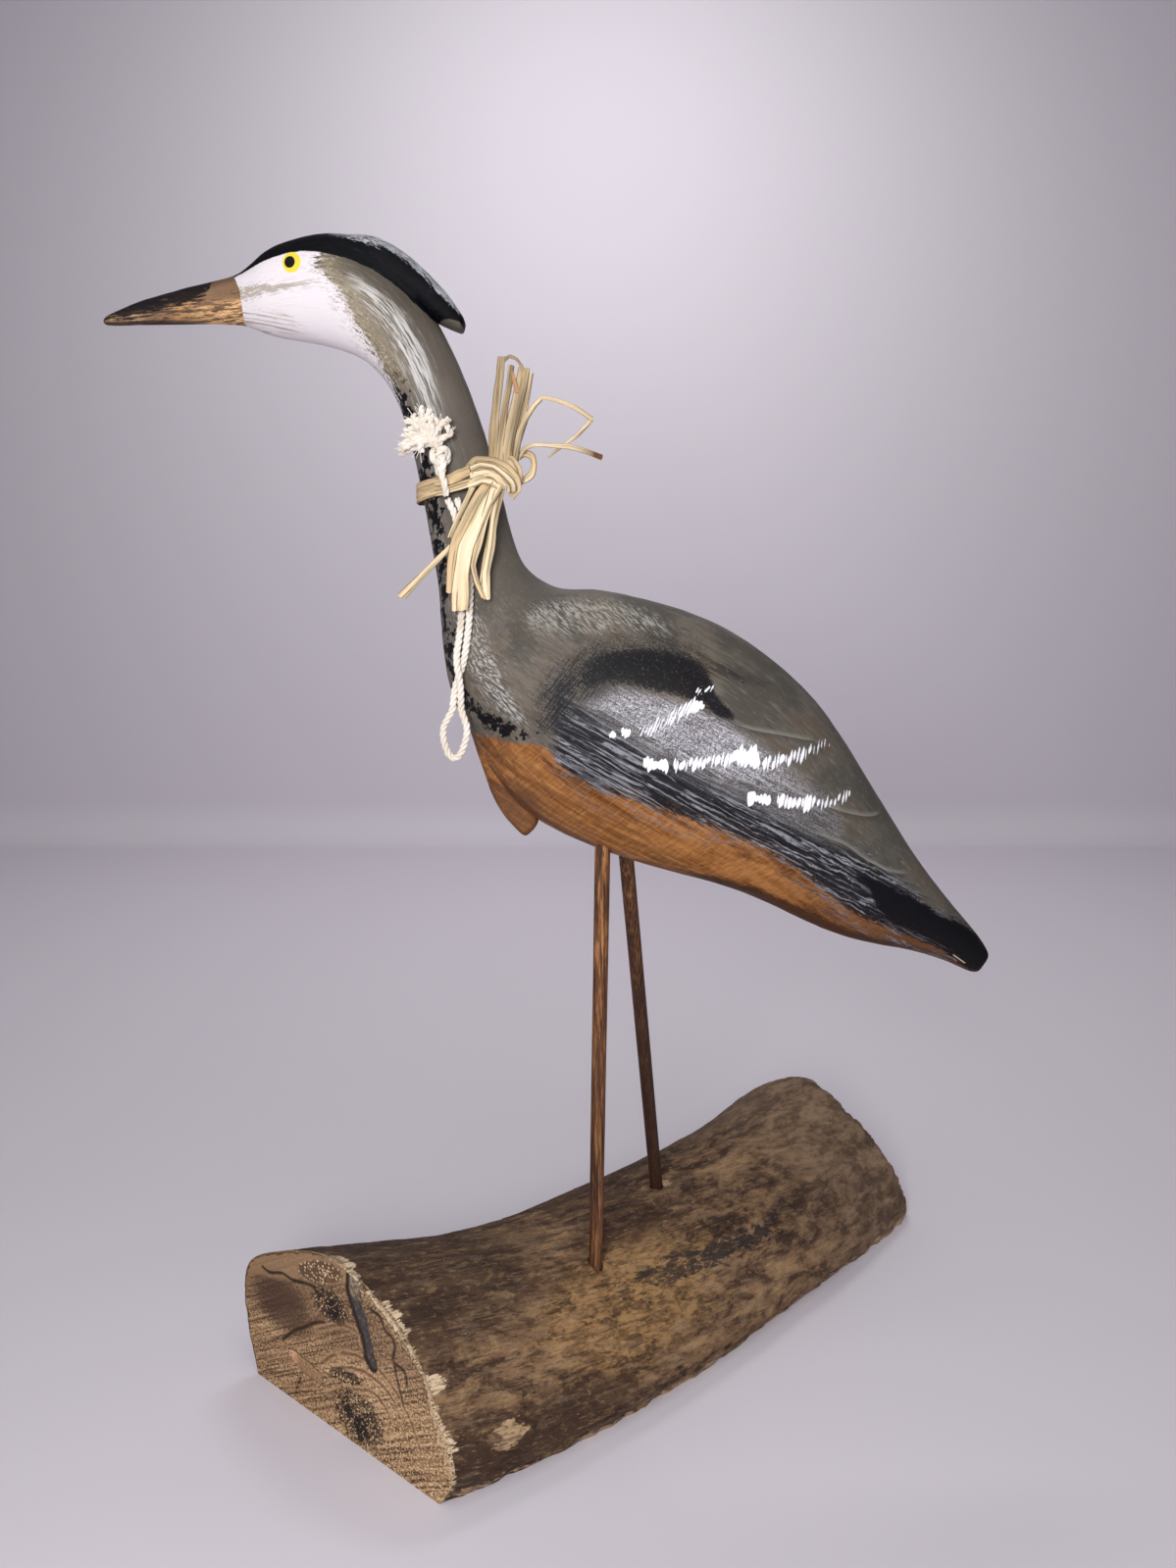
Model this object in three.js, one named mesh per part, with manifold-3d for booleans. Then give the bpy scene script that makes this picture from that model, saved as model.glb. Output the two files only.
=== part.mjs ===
// Carved and painted wooden heron on two dowel legs, standing in a sawn length of driftwood.
// Millimetres, +Z up. The bird faces -X. The origin is the middle of the log's flat underside.
import * as THREE from 'three';
import { mergeVertices } from 'three/addons/utils/BufferGeometryUtils.js';
import Module from 'manifold-3d';

const wasm = await Module();
wasm.setup();

// Driving sizes
const birdPlaneY = -40;
const pieceGap = 0.35;
const ringSides = 24;
const ringsPerStation = 3;
const legTopRadius = 2.75;
const legFootRadius = 2.5;
const legSides = 12;
const socketDepth = 12;
const nearHip = new THREE.Vector3(-7.6, -51, 196.5);
const nearFoot = new THREE.Vector3(-10, -55.2, 43.5);
const farHip = new THREE.Vector3(1.3, -28.3, 189);
const farFoot = new THREE.Vector3(14.9, -4.1, 48.3);
const logFrontCorner = new THREE.Vector3(-59.3, -119.8, 0);
const logHeading = THREE.MathUtils.degToRad(42.4);
const logLength = 267;
const logRings = 26;
const logRoundSides = 34;
const sawCutSkew = 0.118;
const sawCutReach = 40;
const cordDiameter = 2.3;
const cordSides = 8;
const cordSteps = 62;
const cordTailSteps = 4;
const strawThickness = 0.9;
const smallRingSides = 16;
const stripSteps = 8;
const neckTurnSteps = 28;

// Stations of the carving from beak tip to tail tip:
// back line x, z, then front or belly line x, z, then half width, then squareness of the section
const bodyStations = [
  [-176.0, 375.2, -176.0, 372.4, 1.3, 2.2],
  [-157.5, 382.0, -157.5, 372.8, 4.0, 2.3],
  [-131.5, 388.0, -131.5, 373.0, 6.8, 2.3],
  [-124.5, 392.0, -124.0, 371.2, 9.0, 2.3],
  [-115.5, 398.2, -116.5, 369.0, 11.6, 2.3],
  [-94.0, 402.0, -98.5, 366.0, 13.2, 2.3],
  [-75.0, 391.0, -85.5, 360.0, 12.2, 2.2],
  [-61.5, 370.5, -76.0, 346.0, 11.2, 2.1],
  [-51.0, 347.0, -70.5, 324.5, 11.0, 2.0],
  [-42.5, 318.5, -66.5, 299.5, 12.0, 2.0],
  [-39.0, 304.0, -64.5, 285.5, 14.0, 2.0],
  [-34.0, 292.0, -63.5, 270.0, 18.0, 2.0],
  [-22.0, 285.0, -61.5, 253.5, 22.5, 2.1],
  [-5.5, 284.0, -56.0, 239.5, 26.8, 2.1],
  [33.5, 272.0, -37.0, 209.5, 31.0, 2.2],
  [66.5, 246.0, -2.0, 192.0, 30.0, 2.2],
  [91.0, 209.0, 40.5, 179.8, 23.0, 2.2],
  [110.5, 181.5, 76.0, 163.2, 14.5, 2.4],
  [127.0, 162.5, 107.0, 156.5, 9.2, 2.8],
  [131.4, 155.4, 127.8, 147.8, 6.2, 3.2],
];

// The crest, a wedge that follows the crown and stands free of the nape
const crestStations = [
  [-97.5, 401.0, -94.5, 390.0, 8.0, 2.2],
  [-84.0, 400.6, -86.5, 387.5, 11.0, 2.3],
  [-73.0, 395.2, -78.5, 382.5, 10.6, 2.4],
  [-64.0, 387.2, -69.0, 377.0, 9.0, 2.5],
  [-58.0, 380.6, -62.5, 373.0, 7.0, 2.7],
  [-53.5, 373.5, -54.5, 369.8, 4.4, 3.2],
];

// The small tuft of breast plumes under the belly, blunt at its end
const plumeStations = [
  [-43.5, 241.0, -57.0, 244.0, 7.0, 2.4],
  [-40.5, 220.0, -51.0, 226.0, 7.5, 2.6],
  [-33.5, 211.5, -45.0, 209.5, 7.2, 3.0],
  [-29.5, 203.5, -34.5, 197.0, 6.4, 4.0],
];

// The log along its length: distance from the sawn end, how far its front foot swings out,
// the width of its flat underside and its height
const logStations = [
  [0, 0, 98.5, 62],
  [22, -5.0, 100.0, 57],
  [52, -8.8, 99.0, 52],
  [90, -11.0, 97.5, 48.5],
  [130, -10.2, 96.5, 48],
  [170, -7.0, 96.0, 47.5],
  [210, -4.6, 95.5, 49.5],
  [240, -2.5, 95.0, 53],
  [258, -0.5, 93.0, 52.5],
  [logLength, 4.0, 87.0, 48.5],
];

// The log's section as shares of its width and height, from the front foot over the crown to the
// back foot: square at the back where it is sawn, rounder along the middle, and worn down on the
// front at the far end
const sawnSection = [
  [0, 0], [-0.064, 0.16], [-0.05, 0.31], [0.02, 0.51], [0.12, 0.74], [0.28, 0.9],
  [0.51, 1], [0.74, 0.94], [0.96, 0.78], [1.06, 0.6], [1.055, 0.3], [1, 0],
];
const roundSection = [
  [0, 0], [-0.05, 0.16], [-0.035, 0.33], [0.03, 0.53], [0.12, 0.73], [0.27, 0.92],
  [0.46, 1], [0.68, 0.94], [0.84, 0.76], [0.95, 0.55], [1, 0.28], [1, 0],
];
const wornSection = [
  [0, 0], [-0.012, 0.12], [0.03, 0.29], [0.09, 0.45], [0.19, 0.62], [0.34, 0.8],
  [0.56, 1], [0.72, 0.97], [0.87, 0.83], [0.99, 0.6], [1.01, 0.3], [1, 0],
];
const hollows = [{ length: 31, turns: 5, depth: 0.018 }, { length: 57, turns: 26, depth: 0.014 }];
const sawnReach = 60;
const wornStart = 185;

// Dried fibre strips of the neck tie: width at the knot, width at the end, then the line it follows
const tieStrips = [
  {
    widths: [3.2, 2.8],
    line: [[-44, -50.5, 321], [-44.2, -50, 336], [-42.4, -49.5, 348.5], [-40.4, -49, 359]],
  },
  {
    widths: [3.6, 4.4],
    line: [[-42.5, -51.5, 321], [-39.8, -51.5, 336], [-36.2, -51, 345.5], [-33.5, -50.5, 355]],
  },
  {
    widths: [2.2, 3.4],
    line: [[-41, -50, 321], [-37.5, -49.5, 333], [-34.2, -49.5, 340.5], [-30.6, -49, 347.3]],
  },
  {
    widths: [3.6, 4.4],
    line: [[-45, -54, 319], [-50, -57.5, 307.5], [-54, -59.8, 296], [-57.4, -62.5, 277]],
  },
  {
    widths: [3.6, 4.8],
    line: [[-44.5, -54.5, 319], [-48.5, -58.4, 306.5], [-51.5, -60.8, 296], [-54.3, -63.4, 276.5]],
  },
  {
    widths: [3.4, 4.2],
    line: [[-43.5, -54, 319], [-46, -57.6, 306.5], [-48.5, -60.2, 296], [-51, -63.4, 281]],
  },
  {
    widths: [3.2, 3.6],
    line: [[-42.5, -52.5, 319], [-44, -55.4, 306.5], [-46, -58.4, 296], [-48, -63, 281]],
  },
  {
    widths: [1.6, 2.8],
    line: [[-46, -53.8, 320], [-53, -58, 310.5], [-60, -58.6, 299.5], [-74, -56, 282.5]],
  },
];
const tieStrands = [
  {
    widths: [1.7, 1.2],
    line: [[-33.4, -49.4, 342], [-27.5, -49, 347], [-18, -48, 344], [-12, -47.5, 340.6]],
  },
  {
    widths: [1.3, 0.9],
    line: [[-12.3, -47.5, 341], [-12.6, -47.5, 338.6], [-19.5, -48, 332.5], [-25, -48, 328.5]],
  },
  {
    widths: [1.4, 1.8],
    line: [[-40, -51, 321.5], [-36.5, -51, 328.5], [-25, -50, 332], [-7.5, -49, 327.5]],
  },
  {
    widths: [2.4, 2.4],
    line: [[-38, -51, 321], [-32, -49, 321.5], [-29.9, -47, 326.2], [-33.5, -46.5, 329.6]],
  },
];
const tieKnotCentre = new THREE.Vector3(-44.3, -50, 321);
const tieKnotRadii = new THREE.Vector3(8.4, 4.6, 6.2);
// The two turns round the neck: height at the throat, rise towards the nape, width of the strip
const tieTurns = [
  { height: 319.2, rise: 0.12, width: 3.8 },
  { height: 315.2, rise: 0.24, width: 3.6 },
];
const neckCentre = new THREE.Vector2(-56.4, -40);
const neckTurnRadii = new THREE.Vector2(14.8, 13.0);

// The white cotton cord from where it leaves the tie, down, round its eye and back up again
const cordRoute = [
  [-59.3, -53.3, 314.2], [-57.0, -53.7, 309.0], [-55.6, -54.3, 302.6], [-54.7, -55.7, 294.4],
  [-54.4, -57.7, 284.9], [-54.7, -59.6, 275.6], [-55.3, -60.2, 269.6], [-56.2, -60.4, 264.2],
  [-56.2, -61.4, 260.0], [-55.7, -61.8, 256.0], [-55.2, -61.3, 252.0], [-55.1, -60.4, 247.6],
  [-54.3, -60.2, 243.0], [-53.4, -60.2, 238.0], [-53.4, -60.2, 233.2], [-54.7, -60.2, 229.8],
  [-57.9, -60.2, 228.4], [-61.1, -60.2, 229.8], [-62.4, -60.2, 233.2], [-61.8, -60.2, 238.0],
  [-59.9, -60.2, 243.0], [-58.1, -60.1, 247.6], [-56.9, -59.4, 252.0], [-55.7, -59.0, 256.0],
  [-54.4, -59.5, 260.0], [-53.4, -60.3, 264.2], [-52.6, -60.4, 269.6], [-52.0, -60.2, 275.6],
  [-51.7, -58.6, 284.9], [-52.0, -56.6, 294.4], [-52.9, -54.8, 302.6], [-54.2, -53.9, 309.0],
  [-56.3, -53.5, 314.4],
];
const cordTail = [[-61, -54.6, 328], [-60.2, -55.4, 324], [-59.8, -55.2, 320]];
const cordKnotCentre = new THREE.Vector3(-61, -54.4, 328.2);
const cordKnotRadii = new THREE.Vector3(3.2, 2.9, 3.8);
// Frayed ends above the cord's knot: where each one points to, and how thick it is
const frayRoot = new THREE.Vector3(-62, -54.2, 330.5);
const frayTips = [
  [-75.5, -53.2, 329.5], [-74.5, -53.8, 334.5], [-72.0, -54.4, 339.5], [-68.5, -55.2, 343.5],
  [-64.5, -55.6, 343.0], [-60.0, -55.2, 341.0], [-57.0, -54.6, 335.5],
];
const frayRadii = [2.6, 1.4];
const fraySides = 6;

const woodPaint = new THREE.MeshStandardMaterial({ color: 0x7d776a, roughness: 0.5, metalness: 0 });
const stainedDowel = new THREE.MeshStandardMaterial({ color: 0x6b4426, roughness: 0.55, metalness: 0 });
const driftwood = new THREE.MeshStandardMaterial({ color: 0x6d5238, roughness: 0.85, metalness: 0 });
const driedFibre = new THREE.MeshStandardMaterial({ color: 0xd9c08c, roughness: 0.6, metalness: 0 });
const whiteCotton = new THREE.MeshStandardMaterial({ color: 0xece4d6, roughness: 0.9, metalness: 0 });

// Rings of points become one skin, closed by a fan at each end or joined round into a hoop
function skinRings(rings, hoop = false) {
  const count = rings[0].length;
  const points = rings.flat();
  const indices = [];
  const bands = hoop ? rings.length : rings.length - 1;
  for (let r = 0; r < bands; r += 1) {
    for (let i = 0; i < count; i += 1) {
      const a = r * count + i;
      const b = r * count + ((i + 1) % count);
      const c = ((r + 1) % rings.length) * count + i;
      const d = ((r + 1) % rings.length) * count + ((i + 1) % count);
      indices.push(a, b, c, b, d, c);
    }
  }
  if (!hoop) {
    [0, rings.length - 1].forEach((r) => {
      const middle = new THREE.Vector3();
      rings[r].forEach((point) => middle.addScaledVector(point, 1 / count));
      points.push(middle);
      for (let i = 0; i < count; i += 1) {
        const edge = [r * count + i, r * count + ((i + 1) % count)];
        if (r === 0) edge.reverse();
        indices.push(points.length - 1, ...edge);
      }
    });
  }
  const geometry = new THREE.BufferGeometry().setFromPoints(points);
  geometry.setIndex(indices);
  return faceOutwards(geometry);
}

// The signed volume says which way the triangles face
function faceOutwards(geometry) {
  const p = geometry.getAttribute('position');
  const index = geometry.getIndex();
  const corners = [new THREE.Vector3(), new THREE.Vector3(), new THREE.Vector3()];
  let volume = 0;
  for (let i = 0; i < index.count; i += 3) {
    corners.forEach((corner, k) => corner.fromBufferAttribute(p, index.getX(i + k)));
    volume += corners[0].dot(corners[1].clone().cross(corners[2]));
  }
  if (volume < 0) {
    for (let i = 0; i < index.count; i += 3) {
      const second = index.getX(i + 1);
      index.setX(i + 1, index.getX(i + 2));
      index.setX(i + 2, second);
    }
  }
  return geometry;
}

function toSolid(geometry) {
  const bare = geometry.clone();
  bare.deleteAttribute('normal');
  bare.deleteAttribute('uv');
  const merged = mergeVertices(bare, 1e-4);
  const vertProperties = new Float32Array(merged.getAttribute('position').array);
  const triVerts = new Uint32Array(merged.getIndex().array);
  return new wasm.Manifold(new wasm.Mesh({ numProp: 3, vertProperties, triVerts }));
}

function toGeometry(solid) {
  const mesh = solid.getMesh();
  const geometry = new THREE.BufferGeometry();
  const stride = mesh.numProp;
  const positions = [];
  for (let i = 0; i < mesh.vertProperties.length; i += stride) {
    positions.push(mesh.vertProperties[i], mesh.vertProperties[i + 1], mesh.vertProperties[i + 2]);
  }
  geometry.setAttribute('position', new THREE.Float32BufferAttribute(positions, 3));
  geometry.setIndex(Array.from(mesh.triVerts));
  geometry.computeVertexNormals();
  return geometry;
}

// A smooth curve that reaches its nth point at the same share for every curve of as many points
function evenCurve(points) {
  return new THREE.CatmullRomCurve3(points.map((p) => new THREE.Vector3(...p)), false, 'catmullrom');
}

// Rounded power of a cosine or sine, which squares a ring off as its squareness grows
function rounded(value, squareness) {
  return Math.sign(value) * Math.abs(value) ** (2 / squareness);
}

// A loft through paired stations: each ring's height is the line between the two outlines
function loftStations(stations, sides, margin = 0) {
  const backLine = evenCurve(stations.map((s) => [s[0], s[4], s[1]]));
  const frontLine = evenCurve(stations.map((s) => [s[2], s[5], s[3]]));
  const ringCount = (stations.length - 1) * ringsPerStation;
  const rings = [];
  for (let r = 0; r <= ringCount; r += 1) {
    const back = backLine.getPoint(r / ringCount);
    const front = frontLine.getPoint(r / ringCount);
    const halfWidth = back.y + margin;
    const squareness = front.y;
    const middleX = (back.x + front.x) / 2;
    const middleZ = (back.z + front.z) / 2;
    const halfHeight = Math.hypot(back.x - front.x, back.z - front.z) / 2;
    const grow = (halfHeight + margin) / halfHeight;
    const ring = [];
    for (let i = 0; i < sides; i += 1) {
      const angle = (2 * Math.PI * i) / sides;
      const up = rounded(Math.cos(angle), squareness) * grow;
      const side = rounded(Math.sin(angle), squareness) * halfWidth;
      const x = middleX + ((back.x - front.x) / 2) * up;
      const z = middleZ + ((back.z - front.z) / 2) * up;
      ring.push(new THREE.Vector3(x, birdPlaneY + side, z));
    }
    rings.push(ring);
  }
  return skinRings(rings);
}

// A round rod from one point to another, tapered, made ready to place
function rodBetween(start, end, startRadius, endRadius, sides) {
  const along = new THREE.Vector3().subVectors(end, start);
  const rod = new THREE.CylinderGeometry(endRadius, startRadius, along.length(), sides, 1);
  const upright = new THREE.Vector3(0, 1, 0);
  rod.applyQuaternion(new THREE.Quaternion().setFromUnitVectors(upright, along.clone().normalize()));
  rod.translate((start.x + end.x) / 2, (start.y + end.y) / 2, (start.z + end.z) / 2);
  return rod;
}

// One leg with its ends let into the body and the log, and the wider hole it sits in
function legRod(hip, foot, gap) {
  const along = new THREE.Vector3().subVectors(foot, hip).normalize();
  const top = hip.clone().addScaledVector(along, -socketDepth - gap);
  const end = foot.clone().addScaledVector(along, socketDepth + gap);
  return rodBetween(top, end, legTopRadius + gap, legFootRadius + gap, legSides);
}

function oval(centre, radii) {
  const ball = new THREE.IcosahedronGeometry(1, 1);
  ball.scale(radii.x, radii.y, radii.z);
  ball.translate(centre.x, centre.y, centre.z);
  return ball;
}

// A flat strip along a smooth line, with its broad side to the viewer
function flatStrip(line, widths, steps) {
  const curve = new THREE.CatmullRomCurve3(line.map((p) => new THREE.Vector3(...p)));
  const towardViewer = new THREE.Vector3(0, -1, 0);
  const rings = [];
  for (let s = 0; s <= steps; s += 1) {
    const at = curve.getPoint(s / steps);
    const tangent = curve.getTangent(s / steps);
    const across = new THREE.Vector3().crossVectors(tangent, towardViewer).normalize();
    const through = new THREE.Vector3().crossVectors(across, tangent).normalize();
    const half = (widths[0] + ((widths[1] - widths[0]) * s) / steps) / 2;
    const corners = [[1, 1], [-1, 1], [-1, -1], [1, -1]];
    rings.push(corners.map(([u, v]) => at.clone()
      .addScaledVector(across, u * half)
      .addScaledVector(through, (v * strawThickness) / 2)));
  }
  return skinRings(rings);
}

// A closed turn of strip round the neck, a little higher at the nape than at the throat
function neckTurn({ height, rise, width }) {
  const rings = [];
  for (let s = 0; s < neckTurnSteps; s += 1) {
    const angle = (2 * Math.PI * s) / neckTurnSteps;
    const outward = new THREE.Vector2(Math.cos(angle), Math.sin(angle));
    const x = neckCentre.x + neckTurnRadii.x * outward.x;
    const y = neckCentre.y + neckTurnRadii.y * outward.y;
    const z = height + rise * (x - neckCentre.x + neckTurnRadii.x);
    const corners = [[1, 1], [-1, 1], [-1, -1], [1, -1]];
    rings.push(corners.map(([u, v]) => new THREE.Vector3(
      x + (outward.x * u * strawThickness) / 2,
      y + (outward.y * u * strawThickness) / 2,
      z + (v * width) / 2,
    )));
  }
  return skinRings(rings, true);
}

function joinAll(geometries) {
  return geometries.map(toSolid).reduce((whole, piece) => whole.add(piece));
}

function buildHeron(sockets) {
  const trunk = loftStations(bodyStations, ringSides);
  const crest = loftStations(crestStations, smallRingSides);
  const plume = loftStations(plumeStations, smallRingSides);
  return sockets.reduce((body, hole) => body.subtract(hole), joinAll([trunk, crest, plume]));
}

const logPlan = evenCurve(logStations.map((s) => [s[0], s[1], 0]));
const logSizes = evenCurve(logStations.map((s) => [s[2], s[3], 0]));
const [sawnCurve, roundCurve, wornCurve] = [sawnSection, roundSection, wornSection]
  .map((section) => new THREE.CatmullRomCurve3(section.map((s) => new THREE.Vector3(...s, 0))));

// A point of the log's section at a share of the way round, blended along the log
function logSectionPoint(share, distance) {
  const roundness = THREE.MathUtils.smoothstep(distance, 0, sawnReach);
  const wear = THREE.MathUtils.smoothstep(distance, wornStart, logLength);
  const point = sawnCurve.getPoint(share).lerp(roundCurve.getPoint(share), roundness);
  return point.lerp(wornCurve.getPoint(share), wear);
}

function buildLog(sockets) {
  const along = new THREE.Vector3(Math.cos(logHeading), Math.sin(logHeading), 0);
  const toBack = new THREE.Vector3(-along.y, along.x, 0);
  const rings = [];
  for (let r = 0; r <= logRings; r += 1) {
    const station = logPlan.getPoint(r / logRings);
    const [distance, swing] = [station.x, station.y];
    const size = logSizes.getPoint(r / logRings);
    const skew = sawCutSkew * Math.max(0, 1 - distance / sawCutReach);
    const ring = [];
    for (let i = 0; i <= logRoundSides; i += 1) {
      const share = i / logRoundSides;
      const section = logSectionPoint(share, distance);
      const inFromFront = section.x * size.x + swing;
      const weathered = 1 + weatherHollows(distance, share);
      const at = logFrontCorner.clone()
        .addScaledVector(along, distance - skew * inFromFront)
        .addScaledVector(toBack, inFromFront);
      at.z = Math.max(0, section.y * size.y * weathered);
      ring.push(at);
    }
    rings.push(ring);
  }
  return sockets.reduce((log, hole) => log.subtract(hole), toSolid(skinRings(rings)));
}

// Shallow hollows that run with the grain, none at the underside
function weatherHollows(distance, share) {
  const waves = hollows.map((h) => h.depth * Math.sin(distance / h.length + h.turns * share));
  return Math.sin(Math.PI * share) * waves.reduce((sum, wave) => sum + wave);
}

function buildTie(neckSleeve) {
  const strips = tieStrips.map((strip) => flatStrip(strip.line, strip.widths, stripSteps));
  const strands = tieStrands.map((strand) => flatStrip(strand.line, strand.widths, stripSteps));
  const turns = tieTurns.map(neckTurn);
  const knot = oval(tieKnotCentre, tieKnotRadii);
  return joinAll([knot, ...turns, ...strips, ...strands]).subtract(neckSleeve);
}

function cordTube(route, steps) {
  const line = new THREE.CatmullRomCurve3(route.map((p) => new THREE.Vector3(...p)));
  const section = new THREE.Shape();
  for (let i = 0; i < cordSides; i += 1) {
    const angle = (2 * Math.PI * i) / cordSides;
    const point = [Math.cos(angle) * cordDiameter * 0.5, Math.sin(angle) * cordDiameter * 0.5];
    if (i === 0) section.moveTo(...point);
    else section.lineTo(...point);
  }
  section.closePath();
  return new THREE.ExtrudeGeometry(section, { steps, extrudePath: line, bevelEnabled: false });
}

function buildCordKnot(neckSleeve) {
  const knot = oval(cordKnotCentre, cordKnotRadii);
  const tail = cordTube(cordTail, cordTailSteps);
  const frays = frayTips.map((tip) => (
    rodBetween(frayRoot, new THREE.Vector3(...tip), ...frayRadii, fraySides)
  ));
  return joinAll([knot, tail, ...frays]).subtract(neckSleeve);
}

const object = new THREE.Group();

function addPiece(name, geometry, material) {
  const mesh = new THREE.Mesh(geometry, material);
  mesh.name = name;
  object.add(mesh);
}

const legs = [[nearHip, nearFoot], [farHip, farFoot]];
const sockets = legs.map(([hip, foot]) => toSolid(legRod(hip, foot, pieceGap)));
const neckSleeve = toSolid(loftStations(bodyStations, ringSides, pieceGap));

addPiece('heron_body', toGeometry(buildHeron(sockets)), woodPaint);
addPiece('near_leg', legRod(nearHip, nearFoot, 0), stainedDowel);
addPiece('far_leg', legRod(farHip, farFoot, 0), stainedDowel);
addPiece('driftwood_base', toGeometry(buildLog(sockets)), driftwood);
addPiece('raffia_tie', toGeometry(buildTie(neckSleeve)), driedFibre);
addPiece('cord_knot', toGeometry(buildCordKnot(neckSleeve)), whiteCotton);
addPiece('cord_loop', cordTube(cordRoute, cordSteps), whiteCotton);

export default object;
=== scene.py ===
import math

import bmesh
import bpy
import numpy as np
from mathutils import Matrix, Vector, noise


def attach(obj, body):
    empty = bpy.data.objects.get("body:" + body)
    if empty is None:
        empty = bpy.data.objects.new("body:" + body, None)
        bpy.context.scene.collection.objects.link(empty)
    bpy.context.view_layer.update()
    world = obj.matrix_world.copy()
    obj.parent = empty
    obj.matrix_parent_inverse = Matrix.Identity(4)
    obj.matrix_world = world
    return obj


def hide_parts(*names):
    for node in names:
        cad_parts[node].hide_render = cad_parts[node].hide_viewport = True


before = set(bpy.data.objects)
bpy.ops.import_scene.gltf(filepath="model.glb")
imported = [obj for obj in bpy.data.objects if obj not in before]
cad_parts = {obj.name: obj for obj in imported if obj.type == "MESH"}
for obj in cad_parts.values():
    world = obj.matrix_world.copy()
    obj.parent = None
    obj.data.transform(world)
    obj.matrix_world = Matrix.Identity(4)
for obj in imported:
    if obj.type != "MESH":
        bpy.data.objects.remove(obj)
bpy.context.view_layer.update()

mm = 0.001
birdPlane = -40  # the middle of the bird, in mm


# ---- helpers for shapes ----

def selectOnly(*pieces):
    bpy.ops.object.select_all(action="DESELECT")
    for piece in pieces:
        piece.select_set(True)
    bpy.context.view_layer.objects.active = pieces[0]


def curveThrough(points, count):
    # evenly counted points on a smooth line through all the given ones, of any number of values each
    table = np.array(points, float)
    table = np.vstack([2 * table[0] - table[1], table, 2 * table[-1] - table[-2]])
    found = []
    for share in np.linspace(0, len(points) - 1, count):
        i = min(int(share), len(points) - 2)
        t = share - i
        a, b, c, d = table[i:i + 4]
        ease = 0.5 * (c - a)
        settle = 0.5 * (d - b)
        found.append(
            (2 * b - 2 * c + ease + settle) * t ** 3
            + (-3 * b + 3 * c - 2 * ease - settle) * t ** 2 + ease * t + b
        )
    return np.array(found)


def lengthsAlong(line):
    return np.concatenate([[0], np.cumsum(np.linalg.norm(np.diff(line, axis=0), axis=1))])


def spacedOut(line, count):
    # points at even steps along the straight runs of a line
    gone = lengthsAlong(line)
    at = np.linspace(0, gone[-1], count)
    return np.stack([np.interp(at, gone, line[:, k]) for k in range(3)], 1)


def evenLine(points, step):
    # a smooth line through the points, with a point at every step of its length
    fine = curveThrough(points, 40 * len(points))
    return spacedOut(fine, max(4, int(round(lengthsAlong(fine)[-1] / step))) + 1)


def carriedFrames(line):
    # two directions across the line at each point, carried along it without twist
    tangents = np.gradient(line, axis=0)
    tangents /= np.linalg.norm(tangents, axis=1)[:, None]
    across = np.cross(tangents[0], (0.3, 1, 0.2))
    frames = []
    for tangent in tangents:
        across = across - tangent * (across @ tangent)
        across /= np.linalg.norm(across)
        frames.append((across, np.cross(tangent, across)))
    return frames


def loftByExtruding(name, rings):
    # a disc is extruded ring after ring, and each new ring is set on its section, in mm
    bpy.ops.object.select_all(action="DESELECT")
    bpy.ops.mesh.primitive_circle_add(vertices=len(rings[0]), radius=mm, fill_type="NGON")
    piece = bpy.context.object
    piece.name = piece.data.name = name
    bpy.ops.object.mode_set(mode="EDIT")
    mesh = bmesh.from_edit_mesh(piece.data)
    spoke = mesh.verts.layers.int.new("spoke")
    mesh.verts.ensure_lookup_table()
    for i, vertex in enumerate(mesh.verts):
        vertex[spoke] = i
        vertex.co = Vector(rings[0][i]) * mm
    for ring in rings[1:]:
        bpy.ops.mesh.extrude_region_move()
        mesh = bmesh.from_edit_mesh(piece.data)
        spoke = mesh.verts.layers.int["spoke"]
        for vertex in mesh.verts:
            if vertex.select:
                vertex.co = Vector(ring[vertex[spoke]]) * mm
    bmesh.update_edit_mesh(piece.data)
    bpy.ops.mesh.select_all(action="SELECT")
    bpy.ops.mesh.normals_make_consistent(inside=False)
    bpy.ops.object.mode_set(mode="OBJECT")
    piece.data.attributes.remove(piece.data.attributes["spoke"])
    return piece


def finishWith(piece, kind, **settings):
    selectOnly(piece)
    bpy.ops.object.modifier_add(type=kind)
    modifier = piece.modifiers[-1]
    for key, value in settings.items():
        setattr(modifier, key, value)
    bpy.ops.object.modifier_apply(modifier=modifier.name)


def subdivide(piece, levels):
    finishWith(piece, "SUBSURF", levels=levels, render_levels=levels)


def workWithin(piece, kind, test, operator, **settings):
    # runs an operator on the edges or the verts of the piece that lie where the test says, in mm
    selectOnly(piece)
    bpy.ops.object.mode_set(mode="EDIT")
    bpy.ops.mesh.select_all(action="DESELECT")
    for part in getattr(bmesh.from_edit_mesh(piece.data), kind):
        part.select_set(all(test(v.co / mm) for v in (part.verts if kind == "edges" else [part])))
    operator(**settings)
    bpy.ops.object.mode_set(mode="OBJECT")


def combine(piece, tool, operation):
    finishWith(piece, "BOOLEAN", operation=operation, solver="EXACT", object=tool)
    bpy.data.objects.remove(tool)


def joinPieces(name, pieces):
    selectOnly(*pieces)
    bpy.ops.object.join()
    piece = bpy.context.object
    piece.name = piece.data.name = name
    return piece


def smoothByAngle(piece, degrees):
    selectOnly(piece)
    bpy.ops.object.shade_smooth_by_angle(angle=math.radians(degrees))


def pointsOf(piece):
    found = np.zeros(len(piece.data.vertices) * 3)
    piece.data.vertices.foreach_get("co", found)
    return found.reshape(-1, 3) / mm


def normalsOf(piece):
    found = np.zeros(len(piece.data.vertices) * 3)
    piece.data.vertices.foreach_get("normal", found)
    return found.reshape(-1, 3)


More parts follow.
